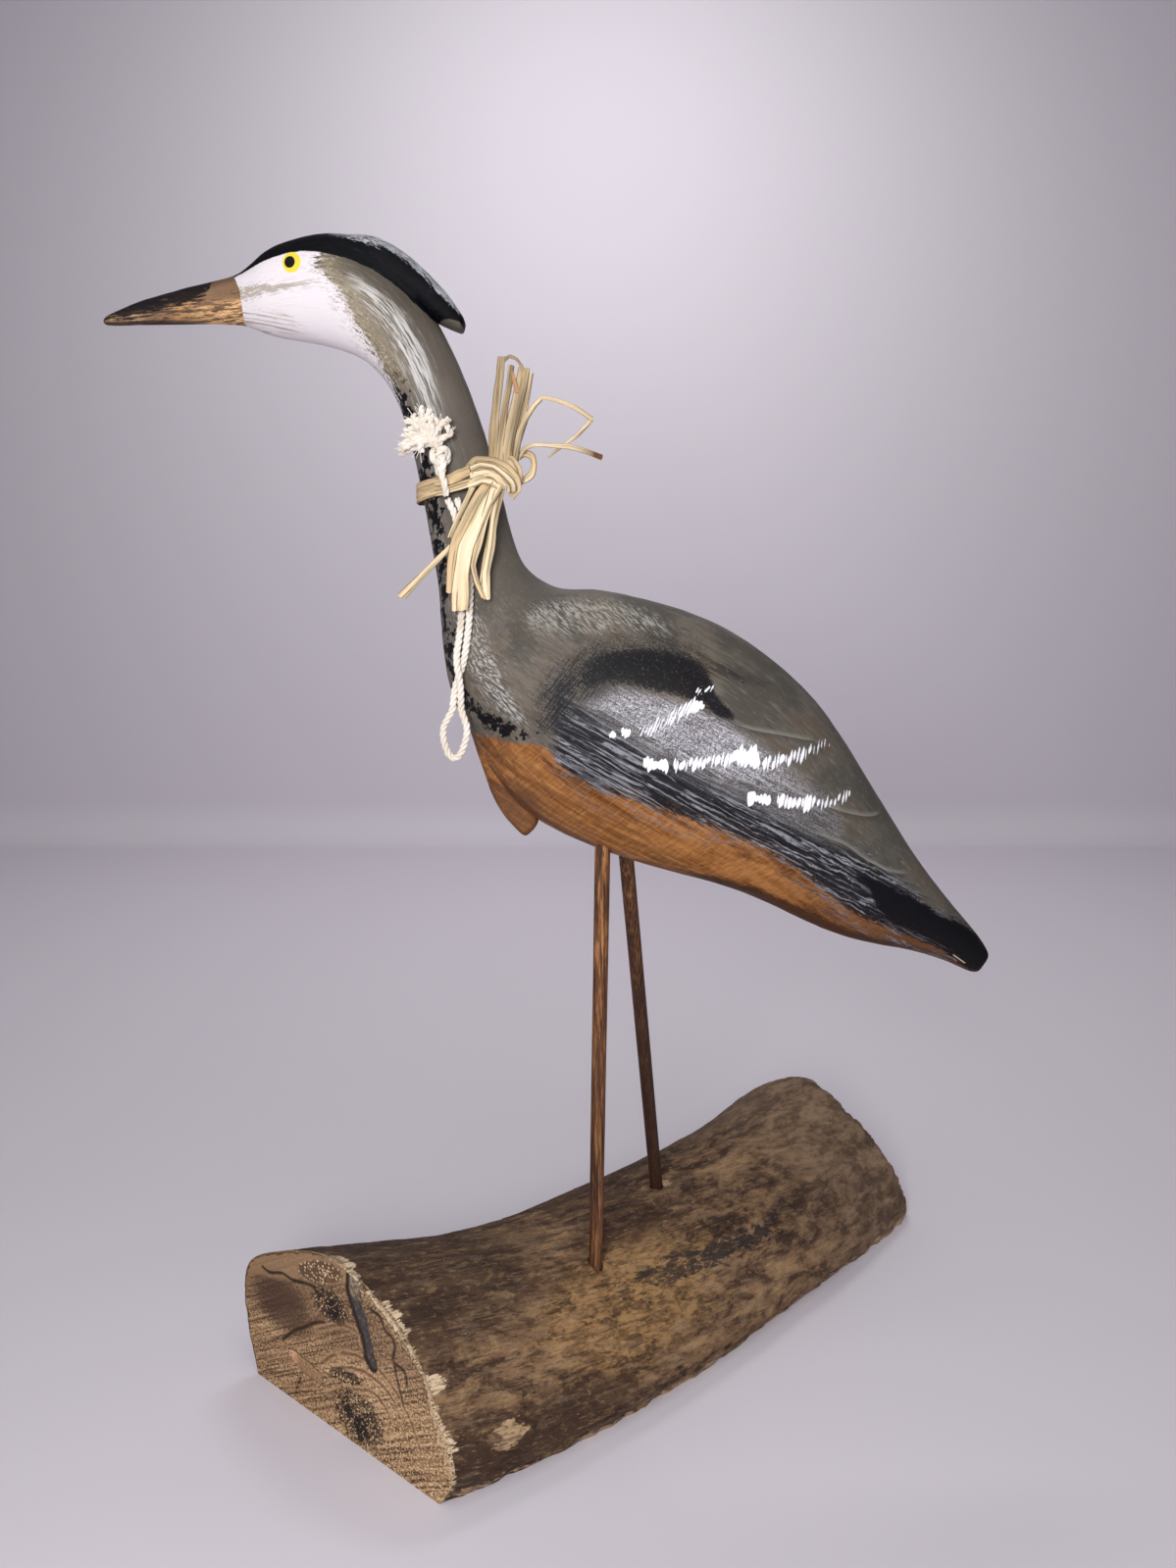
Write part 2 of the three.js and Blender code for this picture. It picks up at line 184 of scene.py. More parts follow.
def setPoints(piece, points):
    piece.data.vertices.foreach_set("co", (points * mm).ravel())
    piece.data.update()


def keepValues(piece, name, values):
    held = piece.data.attributes.new(name, "FLOAT", "POINT")
    held.data.foreach_set("value", np.asarray(values, np.float32))


def bumps(points, scale, seed, octaves=3):
    # soft noise at each point, from about -1 to 1
    scaled = points * np.array(scale) + seed
    return np.array([noise.fractal(Vector(p), 0.6, 2.1, octaves) for p in scaled])


def brushReach(flat, stroke):
    # how far each point is outside a brush stroke of changing width: x, z and half width, in mm
    line = curveThrough(stroke, 12 * len(stroke))
    best = np.full(len(flat), 1e9)
    for a, b in zip(line[:-1], line[1:]):
        along = b[:2] - a[:2]
        share = np.clip(((flat - a[:2]) @ along) / (along @ along), 0, 1)
        off = np.linalg.norm(flat - a[:2] - share[:, None] * along, axis=1)
        best = np.minimum(best, off - (a[2] + share * (b[2] - a[2])))
    return best


def stepped(values, low, high):
    share = np.clip((values - low) / (high - low), 0, 1)
    return share * share * (3 - 2 * share)


# ---- helpers for finishes ----

class Wire:
    # one socket of a finish, so that its maths can be written as sums

    def __init__(self, finish, socket):
        self.finish = finish
        self.socket = socket

    def maths(self, operation, *others):
        return self.finish.add("Math", {"operation": operation}, dict(enumerate((self, *others))))

    def __add__(self, other):
        return self.maths("ADD", other)

    def __radd__(self, other):
        return self.maths("ADD", other)

    def __mul__(self, other):
        return self.maths("MULTIPLY", other)

    def __rmul__(self, other):
        return self.maths("MULTIPLY", other)

    def __sub__(self, other):
        return self.maths("SUBTRACT", other)

    def __rsub__(self, other):
        return (self * -1) + other

    def __truediv__(self, other):
        return self.maths("DIVIDE", other)

    def __pow__(self, other):
        return self.maths("POWER", other)

    def __abs__(self):
        return self.maths("ABSOLUTE")


class Finish:
    # a material and the nodes that make it

    def __init__(self, name):
        self.material = bpy.data.materials.new(name)
        self.material.use_nodes = True
        self.tree = self.material.node_tree
        self.tree.nodes.clear()
        place = self.add("TexCoord", out="Object")
        spot = self.add("VectorMath", {"operation": "SCALE"}, {0: place, "Scale": 1 / mm})
        self.spot = spot
        self.x = self.add("SeparateXYZ", inputs={0: spot}, out="X")
        self.y = self.add("SeparateXYZ", inputs={0: spot}, out="Y")
        self.z = self.add("SeparateXYZ", inputs={0: spot}, out="Z")

    def add(self, kind, settings=None, inputs=None, out=0):
        node = self.tree.nodes.new("ShaderNode" + kind)
        for key, value in (settings or {}).items():
            setattr(node, key, value)
        for key, value in (inputs or {}).items():
            socket = node.inputs[key]
            if isinstance(value, Wire):
                self.tree.links.new(value.socket, socket)
            else:
                socket.default_value = value
        return Wire(self, node.outputs[out])

    def held(self, *names):
        # values kept on the points of the piece
        return {name: self.add("Attribute", {"attribute_name": name}, out="Fac") for name in names}

    def vector(self, x, y, z):
        return self.add("CombineXYZ", inputs={0: x, 1: y, 2: z})

    def noise(self, place, scale=1, detail=2, roughness=0.5, warp=0):
        # the place is three values, or one vector
        inputs = {"Scale": scale, "Detail": detail, "Roughness": roughness, "Distortion": warp}
        inputs["Vector"] = self.vector(*place) if isinstance(place, tuple) else place
        return self.add("TexNoise", {"noise_dimensions": "3D"}, inputs, out="Fac")

    def step(self, value, low, high):
        inputs = {"Value": value, "From Min": low, "From Max": high}
        return self.add("MapRange", {"interpolation_type": "SMOOTHSTEP"}, inputs)

    def line(self, value, points):
        # a smooth line through (value, result) pairs, flat beyond its ends
        places = sorted(points)
        low, high = places[0][0], places[-1][0]
        least = min(p[1] for p in places)
        most = max(max(p[1] for p in places), least + 1e-3)
        found = self.add("FloatCurve", inputs={"Factor": 1.0, "Value": (value - low) / (high - low)})
        mapping = found.socket.node.mapping
        points = mapping.curves[0].points
        while len(points) < len(places):
            points.new(0.5, 0.5)
        for point, (a, b) in zip(points, places):
            point.location = (a - low) / (high - low), (b - least) / (most - least)
        mapping.update()
        return found * (most - least) + least

    def ramp(self, value, *stops):
        # a colour that changes along the value: each stop is its place and its colour
        found = self.add("ValToRGB", inputs={"Fac": value})
        elements = found.socket.node.color_ramp.elements
        while len(elements) < len(stops):
            elements.new(0.5)
        for element, (place, *colour) in zip(elements, stops):
            element.position = place
            element.color = tone(*colour)
        return found

    def mask(self, *parts):
        # where all the parts meet: each is a share, or a value with the places where it turns 0 and 1
        shares = [self.step(*part) if isinstance(part, tuple) else part for part in parts]
        return math.prod(shares[1:], start=shares[0])

    def over(self, base, colour, *parts):
        base, colour = (tone(*c) if isinstance(c, tuple) else c for c in (base, colour))
        settings = {"data_type": "RGBA", "clamp_factor": True}
        return self.add("Mix", settings, {0: self.mask(*parts), 6: base, 7: colour}, out=2)

    def layers(self, base, *rows):
        # colours over one another, each with its mask
        for row in rows:
            base = self.over(base, *row)
        return base

    def chance(self, number):
        # a number from 0 to 1 that stays the same for the same input
        return self.add("TexWhiteNoise", {"noise_dimensions": "1D"}, {"W": number}, out="Value")

    def surface(self, colour, roughness, height=None, depth=0.2, coat=0.0, **fixed):
        inputs = {"Base Color": colour, "Roughness": roughness, "Coat Weight": coat, **fixed}
        if height is not None:
            bump = {"Height": height, "Distance": depth * mm, "Strength": 1.0}
            inputs["Normal"] = self.add("Bump", inputs=bump)
        bsdf = self.add("BsdfPrincipled", inputs=inputs)
        output = self.tree.nodes.new("ShaderNodeOutputMaterial")
        self.tree.links.new(bsdf.socket, output.inputs["Surface"])
        return self.material


def tone(red, green, blue):
    # a colour as a picture shows it, as the light that it stands for
    parts = [c / 255 for c in (red, green, blue)]
    return tuple(c / 12.92 if c <= 0.04045 else ((c + 0.055) / 1.055) ** 2.4 for c in parts) + (1.0,)


def dress(piece, finish, slotName, *nodes):
    piece.data.materials.clear()
    piece.data.materials.append(finish)
    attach(piece, "root")
    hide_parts(*nodes)


# ---- camera, light and floor ----

view = {"place": (-12.7, -454, 275), "pitch": 8, "lens": 27.04}
camera = bpy.data.objects.new("camera", bpy.data.cameras.new("camera"))
camera.data.lens = view["lens"]
camera.data.clip_start = 0.01
camera.location = Vector(view["place"]) * mm
camera.rotation_euler = (math.radians(90 - view["pitch"]), 0, 0)
bpy.context.scene.collection.objects.link(camera)
bpy.context.scene.camera = camera
bpy.context.scene.view_settings.view_transform = "Standard"

studio = {
    "lamps": [
        # name, place, aim, size and power
        ("nearLamp", (-0.1, -0.62, 0.34), (0, -0.04, 0.2), 0.2, 2.9),
        ("topLamp", (0.1, -0.6, 1.15), (0.1, -0.15, 0), 1, 3.6),
        ("wallLamp", (0, 0.42, 0.95), (0, 0.99, 0.3), 0.4, 3.5),
    ],
    "sky": tone(212, 210, 222),
    "skyStrength": 0.31,
    "floor": tone(212, 206, 213),
    "floorSide": 6,
    "floorFront": -3,
    "floorDrop": 0.0001,
    "wallPlace": 0.99,
    "wallHeight": 3,
    "wallBend": 0.05,
}


def addLamp(name, place, aim, size, power):
    bpy.ops.object.light_add(type="AREA", location=place)
    lamp = bpy.context.object
    lamp.name = name
    lamp.data.shape = "DISK"
    lamp.data.size = size
    lamp.data.energy = power
    lamp.rotation_euler = (Vector(aim) - Vector(place)).to_track_quat("-Z", "Y").to_euler()


def makeStudio():
    for lamp in studio["lamps"]:
        addLamp(*lamp)
    world = bpy.data.worlds.new("studio")
    world.use_nodes = True
    world.node_tree.nodes["Background"].inputs[0].default_value = studio["sky"]
    world.node_tree.nodes["Background"].inputs[1].default_value = studio["skyStrength"]
    bpy.context.scene.world = world
    bpy.ops.object.select_all(action="DESELECT")
    bpy.ops.mesh.primitive_plane_add(size=1)
    floor = bpy.context.object
    floor.name = "floor"
    corners = [(x, y) for y in (studio["floorFront"], studio["wallPlace"]) for x in (-1, 1)]
    for vertex, (x, y) in zip(floor.data.vertices, corners):
        vertex.co = (x * studio["floorSide"], y, -studio["floorDrop"])
    rise = {"value": (0, 0, studio["wallHeight"])}
    extrude = bpy.ops.mesh.extrude_region_move
    workWithin(floor, "edges", lambda p: p.y > 0, extrude, TRANSFORM_OT_translate=rise)
    finishWith(floor, "BEVEL", width=studio["wallBend"], segments=8, angle_limit=math.radians(40))
    smoothByAngle(floor, 60)
    paper = Finish("palePaper")
    floor.data.materials.append(paper.surface(studio["floor"], 0.75))


makeStudio()
print("studio ready")


# ---- white cotton cord ----

cord = {
    "diameter": 2.4,
    "step": 0.42,
    "smoothAngle": 60,
    # plies, their radius, the radius that they wind at and the length of a full turn
    "yarn": (3, 0.58, 0.66, 6.6),
    "route": [
        (-59.3, -53.3, 314.2), (-57, -53.7, 309), (-55.6, -54.3, 302.6), (-54.7, -55.7, 294.4),
        (-54.4, -57.7, 284.9), (-54.7, -59.6, 275.6), (-55.3, -60.2, 269.6), (-56.2, -60.4, 264.2),
        (-56.2, -61.4, 260), (-55.6, -61.7, 256), (-55.2, -61.1, 252), (-55.2, -60.4, 248),
        (-55.1, -60.2, 244.8), (-54.3, -60.2, 242.1), (-53.4, -60.2, 239.1), (-53.5, -60.2, 235.8),
        (-54.5, -60.2, 232.4), (-55.8, -60.2, 229.6), (-57.6, -60.2, 228.4), (-59.4, -60.2, 229.6),
        (-60.6, -60.2, 232.4), (-61.3, -60.2, 235.8), (-61, -60.2, 239.1), (-59.5, -60.2, 242.1),
        (-58.1, -60.2, 244.8), (-57.7, -60, 248), (-57.1, -59.3, 252), (-55.8, -59, 256),
        (-54.4, -59.5, 260), (-53.4, -60.3, 264.2), (-52.6, -60.4, 269.6), (-52, -60.2, 275.6),
        (-51.7, -58.6, 284.9), (-52, -56.6, 294.4), (-52.9, -54.8, 302.6), (-54.2, -53.9, 309),
        (-56.3, -53.5, 314.4),
    ],
}
knot = {
    "centre": (-61.3, -55.4, 326.9),
    "reach": (2.6, 1.9, 3.9),
    "lobeSteps": 60,
    "tail": [(-61.2, -56.6, 324.4), (-60.6, -57.1, 321.6), (-59.8, -57.2, 318.6), (-59.4, -56, 315.2)],
    "root": (-61.8, -55.4, 331.2),
    "ends": [
        [(-66.5, -55.8, 331.8), (-70.5, -54.6, 330.6), (-74.4, -54, 328.6)],
        [(-66, -56.6, 333.4), (-70.4, -56.2, 333.4), (-74, -55, 331.4)],
        [(-65.6, -55, 334.8), (-69, -54.4, 336.8), (-72.6, -54.4, 336.2)],
        [(-65.2, -56.6, 335), (-68, -56.2, 338.4), (-69.8, -55.4, 341)],
        [(-63.8, -55.4, 335.6), (-66.2, -55, 340), (-67.6, -55, 343.4)],
        [(-63.2, -56.8, 335.4), (-64.6, -57, 338.8), (-64.4, -56.8, 342.4)],
        [(-62.2, -56, 335.2), (-62.2, -55.8, 338.4), (-63.6, -55.6, 341)],
        [(-62.4, -56.4, 334.8), (-60.6, -56, 338), (-58.4, -55.2, 339.6)],
        [(-60.4, -56.2, 333.4), (-58, -56.6, 334.8), (-58.4, -56.8, 337.4)],
        [(-64.6, -57.4, 332.6), (-67.2, -58, 331), (-67.4, -57.6, 328.6)],
        [(-66.4, -56.2, 332.8), (-70.6, -56.8, 331.4), (-75, -55.6, 329.6)],
        [(-66.6, -55.6, 334.4), (-70.4, -55.6, 335), (-74, -55, 334.2)],
        [(-65.8, -56.8, 335.2), (-69.2, -56.2, 338.2), (-72.6, -55.2, 339)],
        [(-64.6, -57.4, 334.6), (-66.6, -57.2, 337.6), (-67, -56.6, 340.2)],
        [(-63.8, -57.6, 334.4), (-65.2, -57.8, 337.2), (-66.2, -57.4, 339.6)],
        [(-62.8, -57.2, 334.2), (-63.4, -57.4, 337), (-64.2, -57, 340)],
    ],
    "step": 0.5,
    "lobeYarn": (3, 0.62, 0.58, 8.4),
    "tailYarn": (3, 0.6, 0.58, 8.4),
    "endYarn": (2, 0.66, 0.5, 4.6),
    "fluff": {"each": 16, "radius": 0.1, "reach": 2.4, "bow": 0.25, "seed": 31, "behind": -54},
}


def spunYarn(name, line, plies, plyRadius, windRadius, turn, start=0):
    # plies wound round a line, as curves with a round bevel that become one mesh, in mm
    shape = bpy.data.curves.new(name, "CURVE")
    shape.dimensions = "3D"
    shape.bevel_depth = plyRadius * mm
    shape.bevel_resolution = 2
    shape.use_fill_caps = True
    frames = carriedFrames(line)
    gone = lengthsAlong(line)
    for ply in range(plies):
        spline = shape.splines.new("POLY")
        spline.points.add(len(line) - 1)
        for i, (across, through) in enumerate(frames):
            angle = start + 2 * math.pi * (ply / plies + gone[i] / turn)
            at = line[i] + windRadius * (math.cos(angle) * across + math.sin(angle) * through)
            spline.points[i].co = (*(at * mm), 1)
    yarn = bpy.data.objects.new(name, shape)
    bpy.context.scene.collection.objects.link(yarn)
    selectOnly(yarn)
    bpy.ops.object.convert(target="MESH")
    yarn = bpy.context.object
    smoothByAngle(yarn, cord["smoothAngle"])
    return yarn


def makeCord():
    line = evenLine(cord["route"], cord["step"])
    loop = spunYarn("cordLoop", line, *cord["yarn"])
    return loop, line * mm, float(lengthsAlong(line)[-1] * mm)


def makeCordKnot():
    # a hard little knot: a three-lobed line of plied cord, a tail below it and curled ends above
    centre = np.array(knot["centre"])
    lobes = []
    for i in range(knot["lobeSteps"]):
        a = 2 * math.pi * i / knot["lobeSteps"]
        lobes.append(centre + np.array(knot["reach"]) * (
            0.55 * (math.sin(a) + 2 * math.sin(2 * a)) / 1.6,
            0.9 * math.sin(3 * a),
            0.55 * (math.cos(a) - 2 * math.cos(2 * a)) / 1.4,
        ))
    lobes.append(lobes[0])
    fluff = knot["fluff"]
    chance = np.random.default_rng(fluff["seed"])
    parts = [
        spunYarn("knotLobes", evenLine(lobes, knot["step"]), *knot["lobeYarn"]),
        spunYarn("knotTail", evenLine(knot["tail"], knot["step"]), *knot["tailYarn"]),
    ]
    for i, end in enumerate(knot["ends"]):
        line = evenLine([knot["root"], *end], knot["step"])
        wave = np.sin(np.arange(len(line)) * 0.6 + i)[:, None] * np.array([0.32, 0.4, 0.32])
        parts.append(spunYarn(f"curledEnd{i}", line + wave, *knot["endYarn"], i))
        for j in range(fluff["each"]):
            # single fibres that have worked loose from the yarn and lean towards its end
            k = int(chance.uniform(0.25, 1) * (len(line) - 2))
            ahead = line[k + 1] - line[k]
            away = chance.normal(size=3) * (0.6, 0.4, 0.6) + ahead / np.linalg.norm(ahead)
            bow = chance.normal(size=3) * fluff["bow"]
            steps = np.linspace(0, 1, 6)[:, None]
            reach = fluff["reach"] * steps * chance.uniform(0.5, 1)
            hair = (line + wave)[k] + away * reach + bow * steps ** 2
            hair[:, 1] = np.minimum(hair[:, 1], fluff["behind"])
            parts.append(spunYarn(f"fibre{i}_{j}", hair, 1, fluff["radius"], 0, knot["endYarn"][3]))
    return joinPieces("cordKnot", parts)


def cottonFinish():
    f = Finish("whiteCotton")
    fibre = f.noise(f.spot, 2.6, 3, 0.6)
    tint = f.noise(f.spot, 0.12, 2)
    colour = f.over((222, 208, 190), (246, 238, 228), (tint + fibre * 0.6, 0.5, 1))
    return f.surface(colour, 0.88, fibre, 0.12, **{"Sheen Weight": 0.3, "Sheen Roughness": 0.5})


cordLoop, cordPath, cordLength = makeCord()
cordKnot = makeCordKnot()
cotton = cottonFinish()
dress(cordLoop, cotton, "white_cotton", "cord_loop")
dress(cordKnot, cotton, "white_cotton", "cord_knot")
print("cord ready", round(cordLength, 4))


# ---- carved heron ----

heron = {
    # back line x, z, front or belly line x, z, half width, squareness
    "body": [
        (-176, 375.2, -176, 372.4, 1.3, 2.2), (-157.5, 382, -157.5, 372.8, 4, 2.3),
        (-131.5, 388, -131.5, 373, 6.8, 2.3), (-124.5, 392, -124, 371, 9, 2.3),
        (-115.5, 398.2, -116.5, 368.7, 11.6, 2.3), (-94, 401.9, -98.6, 365.6, 13.2, 2.3),
        (-75, 391, -85.8, 359.6, 12.2, 2.2), (-61.5, 370.5, -76.4, 345.8, 11.2, 2.1),
        (-51, 347, -70.8, 324.4, 11, 2), (-42.5, 318.5, -66.6, 299.5, 12, 2),
        (-39, 304, -64.5, 285.5, 14, 2), (-34, 292.2, -63.5, 270, 18, 2),
        (-22, 285.3, -61.5, 253.5, 22.5, 2.1), (-5.4, 284.5, -56.2, 239.3, 26.8, 2.1),
        (34, 272.7, -37.3, 209.1, 31, 2.2), (67.2, 246.6, -2.2, 191.4, 30, 2.2),
        (91.8, 209.5, 40.4, 179.2, 23, 2.2), (111, 181.8, 75.8, 162.7, 14.5, 2.4),
        (127.4, 162.7, 106.8, 156.1, 9.2, 2.8), (131.9, 155.3, 128.2, 147.3, 6.2, 3.2),
    ],
    "crest": [
        (-97.5, 401, -94.5, 390, 8, 2.2), (-84, 400.6, -86.5, 387.5, 11, 2.3),
        (-73, 395.2, -78.5, 382.5, 10.6, 2.4), (-64, 387.2, -69, 377, 9, 2.5),
        (-58, 380.6, -62.5, 373, 7, 2.7), (-53.5, 373.5, -54.5, 369.8, 4.4, 3.2),
    ],
    "plume": [
        (-43.5, 241, -57, 244, 7, 2.4), (-40.5, 220, -51, 226, 7.5, 2.6),
        (-33.5, 211.5, -45, 209.5, 7.2, 3), (-29.5, 203.5, -34.5, 197, 6.4, 4),
    ],
    "sides": 28,
    "partSides": 20,
    "ringsPerStation": 3,
    "nape": (-68, 379),  # the crest is eased into the neck behind and above this
    "napeEasing": 14,
    "toolMarks": 0.16,
    # how close, from where and how much of each size of tool mark
    "toolSizes": [((0.06, 0.09, 0.06), 3.1, 1), ((0.16, 0.2, 0.16), 7.7, 0.5)],
    "legHole": 0.12,
    "smoothAngle": 38,
}
legs = {
    "near": {"hip": (-7.6, -51, 196.5), "foot": (-10, -55.2, 43.5)},
    "far": {"hip": (1.3, -28.3, 189), "foot": (14.9, -4.1, 48.3)},
    "radii": (2.75, 2.5),
    "letIn": 12,
    "rings": 54,
    "sides": 32,
    "nicks": 0.12,
    "smoothAngle": 50,
}
# brush strokes on the side of the bird: x, z and half width
strokes = {
    "blackArc": [
        (-25, 242, 0.6), (-22.7, 248.7, 2), (-18.3, 254, 3), (-12.9, 256.6, 3.6), (-6.3, 259.2, 4.6),
        (1.3, 259.6, 5.6), (10.1, 258.3, 6.6), (17.8, 256.6, 6.4), (22.6, 253.8, 5.2),
        (25.5, 250.4, 3.2), (28.2, 247.4, 2.3), (32.1, 244.3, 1.9), (34, 243, 1.2),
    ],
    "haze": [(18, 261.5, 1.5), (26, 260.2, 3.4), (36, 256.6, 3.2), (47, 252.8, 1.2)],
    "silver": [
        (-13, 247.5, 2), (-4, 247.8, 4.5), (6, 244.5, 7), (16, 240, 9), (28, 234, 9.2), (42, 227, 7.2),
        (56, 220, 5), (70, 212.5, 3),
    ],
    "skirt": [
        (-16, 245, 2), (-6, 242.5, 5.5), (6, 237.5, 8), (16, 232.5, 9), (28, 226.5, 9), (42, 219.5, 8),
        (56, 212.5, 6.5), (70, 206, 4),
    ],
    # a strip of painted shade along the lower edge of the belly
    "underside": [
        (22, 187, 0.4), (32, 183.8, 2.2), (44, 178.4, 4), (56, 172.2, 5.2), (68, 167.2, 4.6),
        (82, 163, 2.6), (104, 158.4, 1), (116, 153, 0.8),
    ],
    "shoulder": [
        (-30, 275, 3.6), (-20, 276, 5.4), (-10, 276, 5.2), (0, 275.5, 4.2), (8, 273.5, 3),
        (14, 271, 1.4),
    ],
    "breast": [
        (-61, 299, 1.5), (-56, 286, 3), (-52, 270, 4.5), (-47, 258, 4.5), (-40, 247, 3), (-34, 241, 1),
    ],
    "neck": [
        (-89.5, 383.5, 1.5), (-82.5, 377.5, 3.2), (-76, 370, 4.2), (-70.5, 360, 4.4), (-66.6, 349, 4),
        (-63.2, 338, 2.8), (-60, 328, 1.2),
    ],
    "tailBlack": [
        (80, 187, 0.6), (86, 183.5, 2.2), (91, 179, 3.8), (96, 175, 5.4), (102, 170.5, 6),
        (108, 166.8, 5.4), (114, 163.4, 6.4), (120, 158.6, 7.6), (126, 153, 8.6), (133, 149, 10),
    ],
    "breastDark": [
        (-56, 249.5, 0.3), (-51, 244.5, 1.8), (-45.5, 240.6, 2.8), (-40, 238.6, 2.4), (-35, 237.4, 1),
        (-31, 237, 0),
    ],
    "dabLine": [
        (-79.2, 355.8, 0), (-76, 348.4, 0), (-73.6, 342.6, 0), (-67.8, 327.5, 0), (-64.8, 311.3, 0),
        (-63.6, 298.3, 0), (-62.6, 285.2, 0), (-61.2, 271.9, 0), (-59.4, 262, 0), (-57, 252.1, 0),
        (-53.5, 246.2, 0), (-48, 241.8, 0),
    ],
}


def sectionRings(stations, sides, perStation):
    # rings through paired stations, each round the line between the back and the front, a little
    # large because subdividing draws them in
    full = 3 / (2 + math.cos(2 * math.pi / sides))
    rows = curveThrough(stations, (len(stations) - 1) * perStation + 1)
    rings = []
    for backX, backZ, frontX, frontZ, halfWidth, squareness in rows:
        middle = np.array([(backX + frontX) / 2, birdPlane, (backZ + frontZ) / 2])
        up = np.array([(backX - frontX) / 2, 0, (backZ - frontZ) / 2]) * full
        ring = []
        for i in range(sides):
            angle = 2 * math.pi * i / sides
            rise, side = (
                math.copysign(abs(v) ** (2 / squareness), v) for v in (math.cos(angle), math.sin(angle))
            )
            ring.append(middle + up * rise + np.array([0, halfWidth * full * side, 0]))
        rings.append(ring)
    return rings


def legLine(leg, extra):
    hip, foot = (np.array(leg[k], float) for k in ("hip", "foot"))
    along = (foot - hip) / np.linalg.norm(foot - hip)
    return hip - along * (legs["letIn"] + extra), foot + along * (legs["letIn"] + extra)


def cutLegHoles(piece):
    for leg in (legs["near"], legs["far"]):
        top, bottom = legLine(leg, heron["legHole"])
        along = Vector(bottom - top)
        bpy.ops.object.select_all(action="DESELECT")
        bpy.ops.mesh.primitive_cylinder_add(
            vertices=legs["sides"], radius=(max(legs["radii"]) + heron["legHole"]) * mm,
            depth=along.length * mm, location=Vector((top + bottom) / 2) * mm,
            rotation=along.to_track_quat("Z", "Y").to_euler(),
        )
        combine(piece, bpy.context.object, "DIFFERENCE")


def runAndRise(flat):
    # how far along the bird each point is from the tip of the beak, and how high above its middle
    rows = curveThrough(heron["body"], 800)
    back, front = rows[:, :2], rows[:, 2:4]
    middle = (back + front) / 2
    gone = lengthsAlong(middle)
    half = np.linalg.norm(back - front, axis=1) / 2
    up = (back - front) / (2 * half[:, None])
    run, rise = np.zeros(len(flat)), np.zeros(len(flat))
    for i in range(0, len(flat), 4000):
        away = flat[i:i + 4000, None, :] - middle[None]
        high = (away * up[None]).sum(2)
        off = np.abs(away[:, :, 0] * up[None, :, 1] - away[:, :, 1] * up[None, :, 0])
        off = off + 3 * np.maximum(0, np.abs(high) - half[None] * 1.08)
        best = off.argmin(1)
        run[i:i + 4000] = gone[best]
        rise[i:i + 4000] = high[np.arange(len(best)), best]
    return run, rise


def makeHeron():
    rings = sectionRings(heron["body"], heron["sides"], heron["ringsPerStation"])
    trunk = loftByExtruding("heronBody", rings)
    for name in ("crest", "plume"):
        rings = sectionRings(heron[name], heron["partSides"], heron["ringsPerStation"])
        part = loftByExtruding(name, rings)
        subdivide(part, 2)
        if name == "crest":
            subdivide(trunk, 2)
        combine(trunk, part, "UNION")
        if name == "crest":
            onNape = lambda p: p.x < heron["nape"][0] and p.z > heron["nape"][1]
            ease = bpy.ops.mesh.vertices_smooth
            workWithin(trunk, "verts", onNape, ease, factor=0.5, repeat=heron["napeEasing"])
    points, normals = pointsOf(trunk), normalsOf(trunk)
    cut = sum(share * bumps(points, scale, seed) for scale, seed, share in heron["toolSizes"])
    setPoints(trunk, points - normals * (heron["toolMarks"] * (0.6 + cut))[:, None])
    cutLegHoles(trunk)
    smoothByAngle(trunk, heron["smoothAngle"])
    flat = pointsOf(trunk)[:, [0, 2]]
    run, rise = runAndRise(flat)
    keepValues(trunk, "run", run)
    keepValues(trunk, "rise", rise)
    for name, stroke in strokes.items():
        keepValues(trunk, name, brushReach(flat, stroke))
    return trunk


